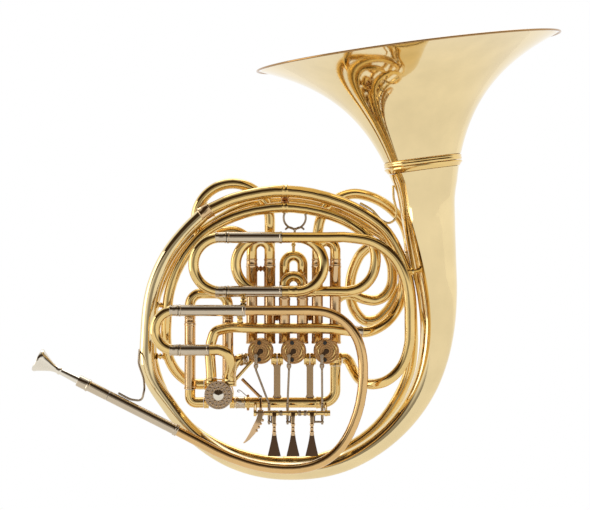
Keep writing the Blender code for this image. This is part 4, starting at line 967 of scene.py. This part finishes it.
def cone():
    """The change valve's rotor, with the cone that stands on its front plate."""
    deck = CHANGE_FRONT - PLATE_T - 2 * GAP
    core = CHANGE_R - VALVE_WALL - GAP
    back = VALVE_BACK - 0.002
    front = CHANGE_FRONT + 0.0004
    profile = [(0.0, back), (core, back), (core, front), (0.0022, front), (0.0022, deck),
            (CONE_R, deck), (CONE_R - 0.0002, deck - 0.0006), (CONE_R - 0.001, deck - 0.0009),
            (0.001, deck - CONE_H + 0.0003), (0.0, deck - CONE_H)]
    lathe("thumb_rotor_cone", profile, (CHANGE_X, 0.0, CHANGE_Z), (0, 1, 0), ["thumb_valve_rotor"],
          "silver", "thumb_rotor", 48)


def axle(x, back=0.0, up=0.0):
    """A place measured from the lever axle's line."""
    return (x, AXLE_Y + back, AXLE_Z + up)


def bar(*stations):
    """Stations for a band, each (x, back, up, half width) from the axle's line."""
    return [(*axle(x, back, up), half) for x, back, up, half in stations]


def keywork():
    """The axle with its bushes and posts, then each finger lever with its push rod."""
    left, right = AXLE_ENDS
    for i, (start, end) in enumerate(BUSHES, 1):
        pipe(f"axle_bush_{i}", axle(start), axle(end), 0.0022, AXLE_R)
    rod("axle_rod", axle(left), axle(right), AXLE_R, ["lever_axle_frame"], "steel")
    rod("axle_knob", axle(right - 0.0002), axle(right + 0.0028), 0.0028)
    for i, x in enumerate((left + 0.0015, right - 0.0015), 1):
        rod(f"axle_eye_{i}", axle(x - 0.0015), axle(x + 0.0015), BARREL_R)
        head = (x, -TUBE_R + 0.0005, CHANGE_Z - 0.01)
        rod(f"axle_post_{i}", axle(x, 0.001, 0.0015), head, 0.0016)
    for i, (x, ball, valve) in enumerate(LEVERS, 1):
        finger_lever(f"lever_{i}", x, ball)
        push_rod(f"push_rod_{i}", f"rod_{i}", ball, valve)


def finger_lever(name, x, ball):
    """A lever: barrel, beaded neck, blade, the arm with its pin, and the spring beside it."""
    bore = AXLE_R + 0.0002
    pipe(name + "_barrel", axle(x - 0.0045), axle(x + 0.0045), 0.0027, bore, body=name)
    neck = bar((x, -0.0025, 0.0012, 0.0024), (x, -0.0045, -0.0045, 0.0019),
            (x, -0.0042, -0.013, 0.0016), (x, -0.0036, -0.0225, 0.0018))
    band(name + "_neck", neck, 0.0018, (), "warm_nickel", name)
    blade = bar((x, -0.0036, -0.0205, 0.002), (x, -0.003, -0.027, 0.003),
            (x, -0.0022, -0.035, 0.0047), (x, -0.0012, -0.0425, 0.0065), (x, -0.001, -0.043, 0.0062))
    band(name + "_blade", blade, 0.0016, ["finger_" + name], "bronze", name)
    for j, (drop, size) in enumerate(((0.0112, 0.0022), (0.015, 0.0018), (0.019, 0.0022)), 1):
        bead(f"{name}_bead_{j}", axle(x, -0.0042, -drop), size, "warm_nickel", name)
    side = math.copysign(1.0, ball - x)
    half = 0.0012
    beside = x + side * 0.0022
    arm = bar((beside, 0.002, -0.0008, half))
    arm += [(beside, ROD_Y - 0.006, PIN_Z + 0.0026, half), (beside, ROD_Y + 0.0014, PIN_Z, half)]
    # The arm is dark bronze, darkened further as painted shade where it runs under the valves.
    band(name + "_arm", arm, 0.0034, (), "bronze", name)
    pin_ends = ((x + side * 0.0018, ROD_Y, PIN_Z), (ball + side * 0.0016, ROD_Y, PIN_Z))
    rod(name + "_pin", *pin_ends, 0.0011, (), "steel", name)
    spring_ends = (axle(x - side * 0.0052), axle(x - side * 0.0082))
    coil_spring(name + "_spring", *spring_ends, 0.0026, 0.00035, 4)


def coil_spring(name, start, end, radius, wire, turns):
    """A wire wound round the line from start to end."""
    start = Vector(start)
    end = Vector(end)
    points = []
    count = turns * 14
    for i in range(count + 1):
        part = i / count
        angle = math.tau * turns * part
        arm = Vector((0.0, radius * math.cos(angle), radius * math.sin(angle)))
        points.append(start.lerp(end, part) + arm)
    tube(name, points, wire, (), "steel", sides=2)


def push_rod(name, body, ball, valve):
    """A push rod: eye on the lever's pin, bent shaft, and fork with its disc at the stop arm."""
    tip = STOP_ARM * math.sin(math.radians(45))
    foot = Vector((ball, ROD_Y, PIN_Z + 0.0022))
    knee = Vector((ball, ROD_Y, -0.053))
    shoulder = Vector((valve - tip, ROD_Y, -0.0185))
    pipe(name + "_eye", (ball - 0.0011, ROD_Y, PIN_Z), (ball + 0.0011, ROD_Y, PIN_Z), 0.0027, 0.0014,
         [name], "steel", body)
    rod(name + "_foot", foot, knee, 0.0015, (), "steel", body, 24)
    bead(name + "_knee", knee, 0.0016, "steel", body)
    rod(name + "_shaft", knee, shoulder, 0.0011, (), "steel", body, 24)
    length = -tip - shoulder.z
    profile = [(0.0, length), (0.0016, length), (0.0018, length - 0.003), (0.0018, length - 0.008),
            (0.0024, length - 0.0086), (0.0024, length - 0.011), (0.0016, length - 0.0122),
            (0.0011, 0.0), (0.0, -0.0008)]
    lathe(name + "_fork", profile, shoulder, (0, 0, 1), (), "steel", body, 24)
    disc_ends = ((valve - tip, ROD_Y - 0.0014, -tip), (valve - tip, ARM_Y - ARM_T - 0.0005, -tip))
    rod(name + "_disc", *disc_ends, 0.0022, (), "steel", body)


def thumb_work():
    """The thumb lever with its lobes, its crank up to the rocker, and its spring."""
    x = THUMB_X
    look = ("worn_silver", "thumb_lever")
    bore = AXLE_R + 0.0002
    pipe("thumb_barrel", axle(x - 0.003), axle(x + 0.003), BARREL_R, bore, ["thumb_lever"], *look)
    blade = bar((x, -0.0026, 0.0, 0.0024), (x - 0.0012, -0.0036, -0.006, 0.0031),
            (x - 0.0045, -0.0034, -0.013, 0.0033), (x - 0.0085, -0.0028, -0.0205, 0.0029),
            (x - 0.013, -0.0018, -0.0265, 0.002), (x - 0.0168, -0.001, -0.03, 0.0008))
    band("thumb_blade", blade, 0.0018, (), *look)
    lobes = ((0.002, 0.007), (0.0, 0.0105), (-0.0018, 0.014), (-0.004, 0.0175))
    for i, (side, drop) in enumerate(lobes, 1):
        bead(f"thumb_lobe_{i}", axle(x + side, -0.0036, -drop), 0.0015, *look)
    knee = axle(x, 0.013, 0.004)
    rod("thumb_crank", axle(x, 0.0024, 0.0008), knee, 0.0014, (), *look)
    bead("thumb_knee", knee, 0.0015, *look)
    rod("thumb_riser", knee, THUMB_ELBOW, 0.0013, (), *look)
    bead("thumb_elbow_ball", THUMB_ELBOW, 0.0021, "nickel_silver", "thumb_lever")
    rod("thumb_rocker", THUMB_ELBOW, THUMB_TIP, 0.0016, (), "plate", "thumb_lever")
    spring = [(-0.0466, -0.0062, -0.0462), (-0.0505, -0.009, -0.0425), (-0.0535, -0.01, -0.04),
            (-0.056, -0.01, -0.0392), (-0.0566, -0.0104, -0.0408), (-0.0545, -0.0108, -0.0412)]
    tube("thumb_spring", smooth_path(spring), 0.0004, (), "steel", sides=3)


def braces():
    """The posts under the valves, the wire braces, the ornamental brace and a finial."""
    low = PORT_Z + TUBE_R + GAP
    high = STUB_Z - SLEEVE_R - GAP
    for i, x in enumerate((-VALVE_PITCH / 2, VALVE_PITCH / 2), 1):
        post = [(x, 0.0, low - GAP, 0.0046), (x, 0.0, low + 0.0025, 0.0034),
                (x, 0.0, high - 0.0025, 0.0034), (x, 0.0, high + GAP, 0.0046)]
        band(f"valve_post_{i}", post, 0.0024, [f"valve_brace_{i}"], "post_brass")
    wire = [(-0.1564, 0.0, 0.0013), (-0.156, -0.02, -0.012), (-0.15, -0.035, -0.03)]
    wire += flat(FRONT, (-0.15, -0.04), (-0.153, -0.0475), (-0.16, -0.0477), (-0.1755, -0.0408))
    tube("leadpipe_brace_wire", smooth_path(wire), 0.0011, ["leadpipe_brace"], "steel")
    bell_wire = flat(0.0, (0.101, 0.168), (0.1015, 0.1563), (0.1045, 0.1391), (0.103, 0.134),
            (0.0959, 0.1299), (0.0908, 0.1319), (0.0797, 0.1431), (0.0675, 0.1502))
    tube("bell_brace_wire", smooth_path(bell_wire), 0.0012)
    tube("ornament_ring", arc((0.0012, 0.1352), 0.0112, 35, -215, 0.0), 0.0011, (), "steel")
    for i, x in enumerate((-0.004, 0.0064), 1):
        arch = arc((x, 0.1205), 0.005, 150, 30, 0.0, steps=16)
        tube(f"ornament_arch_{i}", arch, 0.001, (), "steel")
    rod("ornament_stem", (0.0012, 0.0, 0.1204), (0.0012, 0.0, 0.1242), 0.0012, (), "steel")
    rod("crook_finial", (0.0, REAR, 0.1012), (0.0, REAR, 0.1075), 0.0016, body="second_rear_slide")
    bead("crook_finial_ball", (0.0, REAR, 0.1078), 0.0024, body="second_rear_slide")


def struts():
    """The small braces between neighbouring tubes."""
    wall = SLEEVE_R - 0.0003
    top_x = -0.0086
    strut("strut_top", (top_x, 0.0, 0.151), (top_x, 0.0, 0.1556), 0.0023, "plate")
    ferrule("saddle_outer", (top_x, 0.0, 0.1618), (1.0, 0.0, 0.02), 0.0062, 0.006, "brass")
    ferrule("saddle_inner", (top_x, 0.0, 0.1457), (1.0, 0.0, 0.0), TUBE_R - 0.0001, 0.006, "brass")
    reach = SLIDE_OFFSET - wall
    for i, x in enumerate((-VALVE_PITCH, VALVE_PITCH), 1):
        z = SLEEVE_TOP_Z - 0.0035
        strut(f"strut_sleeves_{i}", (x - reach, 0.0, z), (x + reach, 0.0, z), 0.0019, "plate")
    reach = VALVE_PITCH / 2 - SLIDE_OFFSET - wall
    for i, x in enumerate((-VALVE_PITCH / 2, VALVE_PITCH / 2), 1):
        strut(f"strut_valves_{i}", (x - reach, 0.0, 0.0337), (x + reach, 0.0, 0.0337), 0.002, "plate")
    for name, start, end, waist in (
            ("slides", (-0.0503, SECOND, 0.0555), (-0.0503, FRONT, 0.047), 0.0018),
            ("branch", (-0.0539, -0.04, 0.0368), (-0.0539, -0.016, 0.0284), 0.0018),
            ("throat", (0.1122, -0.0262, 0.08), (0.1256, -0.0112, 0.0815), 0.0022),
            ("tail_low", (-0.1392, 0.0, -0.0052), (-0.1314, 0.005, -0.0058), 0.0019),
            ("tail_high", (-0.1372, 0.0, 0.0466), (-0.1318, 0.0, 0.0466), 0.0019)):
        strut("strut_" + name, start, end, waist)
    rod("casing_strut", (-0.0425, -0.006, -0.0105), (-0.064, -0.012, -0.0345), 0.0017)
    ferrule("link_ferrule", (-0.052, -0.0062, -0.0084), (-0.0083, -0.0064, -0.0015), TUBE_R, 0.006)


def stage():
    """A pale floor below the horn, soft boxes, the white tent and the camera."""
    scene = bpy.context.scene
    work = bmesh.new()
    corners = ((-FLOOR_SIDE, FLOOR_NEAR), (FLOOR_SIDE, FLOOR_NEAR), (FLOOR_SIDE, FLOOR_FAR),
            (-FLOOR_SIDE, FLOOR_FAR))
    work.faces.new([work.verts.new((x, y, FLOOR_Z)) for x, y in corners])
    mesh = bpy.data.meshes.new("floor")
    work.to_mesh(mesh)
    work.free()
    pale, _, shader = blank("pale paper")
    preset(shader, {"Base Color": (FLOOR_TONE, FLOOR_TONE, FLOOR_TONE, 1.0), "Roughness": 0.9,
                    "Specular IOR Level": 0.0, "Emission Color": WHITE,
                    "Emission Strength": FLOOR_GLOW})
    mesh.materials.append(pale)
    floor = bpy.data.objects.new("floor", mesh)
    scene.collection.objects.link(floor)
    for name, spot, wide, tall, power in LIGHTS:
        data = bpy.data.lights.new(name, "AREA")
        data.shape = "RECTANGLE"
        data.size = wide
        data.size_y = tall
        data.energy = power
        lamp = bpy.data.objects.new(name, data)
        lamp.location = spot
        lamp.visible_diffuse = False
        lamp.rotation_mode = "QUATERNION"
        lamp.rotation_quaternion = (Vector(LIGHT_AIM) - Vector(spot)).to_track_quat("-Z", "Y")
        scene.collection.objects.link(lamp)
    tent()
    lens = bpy.data.cameras.new("camera")
    lens.sensor_width = CAMERA_SENSOR
    lens.lens = CAMERA_LENS
    camera = bpy.data.objects.new("camera", lens)
    camera.location = CAMERA_PLACE
    camera.rotation_euler = (math.radians(90), 0.0, 0.0)
    scene.collection.objects.link(camera)
    scene.camera = camera
    scene.view_settings.view_transform = "Standard"


def graded(tree, source, low, high, bottom=0.0, top=1.0):
    """A soft change from bottom to top while the source goes from low to high."""
    limits = {"From Min": low, "From Max": high, "To Min": bottom, "To Max": top}
    grade = added(tree, "MapRange", limits, {"Value": source})
    grade.interpolation_type = "SMOOTHSTEP"
    return grade.outputs["Result"]


def combined(tree, operation, first, second):
    """One operation on two values, each a number or a node's output."""
    node = tree.nodes.new("ShaderNodeMath")
    node.operation = operation
    for socket, value in zip(node.inputs, (first, second)):
        if isinstance(value, float):
            socket.default_value = value
        else:
            tree.links.new(value, socket)
    return node.outputs[0]


def tent():
    """White studio tent, with a dark canopy over the camera and a dim gap round it."""
    world = bpy.data.worlds.new("studio tent")
    bpy.context.scene.world = world
    world.use_nodes = True
    tree = world.node_tree
    place = tree.nodes.new("ShaderNodeTexCoord").outputs["Generated"]
    x, y, z = added(tree, "SeparateXYZ", {}, {"Vector": place}).outputs
    canopy = combined(tree, "MULTIPLY", graded(tree, z, 0.1, 0.4), graded(tree, y, 0.34, -0.05))
    canopy = combined(tree, "MULTIPLY", canopy, graded(tree, z, 0.98, 0.84, 0.3, 1.0))
    turn = combined(tree, "ARCTAN2", x, combined(tree, "MULTIPLY", y, -1.0))
    off = combined(tree, "ABSOLUTE", combined(tree, "ADD", turn, 0.12), 0.0)
    beside = graded(tree, off, 0.7, 0.16, 0.0, 0.72)
    gap = combined(tree, "MULTIPLY", graded(tree, z, -0.44, -0.2), beside)
    tone = tree.nodes.new("ShaderNodeMix")
    tone.data_type = "RGBA"
    tone.inputs[6].default_value = WHITE
    tone.inputs[7].default_value = TENT_DARK
    tree.links.new(combined(tree, "MAXIMUM", canopy, gap), tone.inputs[0])
    tree.links.new(tone.outputs[2], tree.nodes["Background"].inputs["Color"])
    tree.nodes["Background"].inputs["Strength"].default_value = 1.0


def dress_nodes():
    """Gives the CAD nodes that stay in view their looks."""
    slots = {part["node"]: part["material_slot"] for part in frame["record"]["subparts"]}
    for name, node in frame["nodes"].items():
        if node.hide_render:
            continue
        node.data.materials.clear()
        node.data.materials.append(LOOKS[slots[name]])


bell()
throat()
coil()
leadpipe()
main_slide()
f_side()
b_flat_side()
valve_slides()
valves()
keywork()
thumb_work()
braces()
struts()
stage()
dress_nodes()
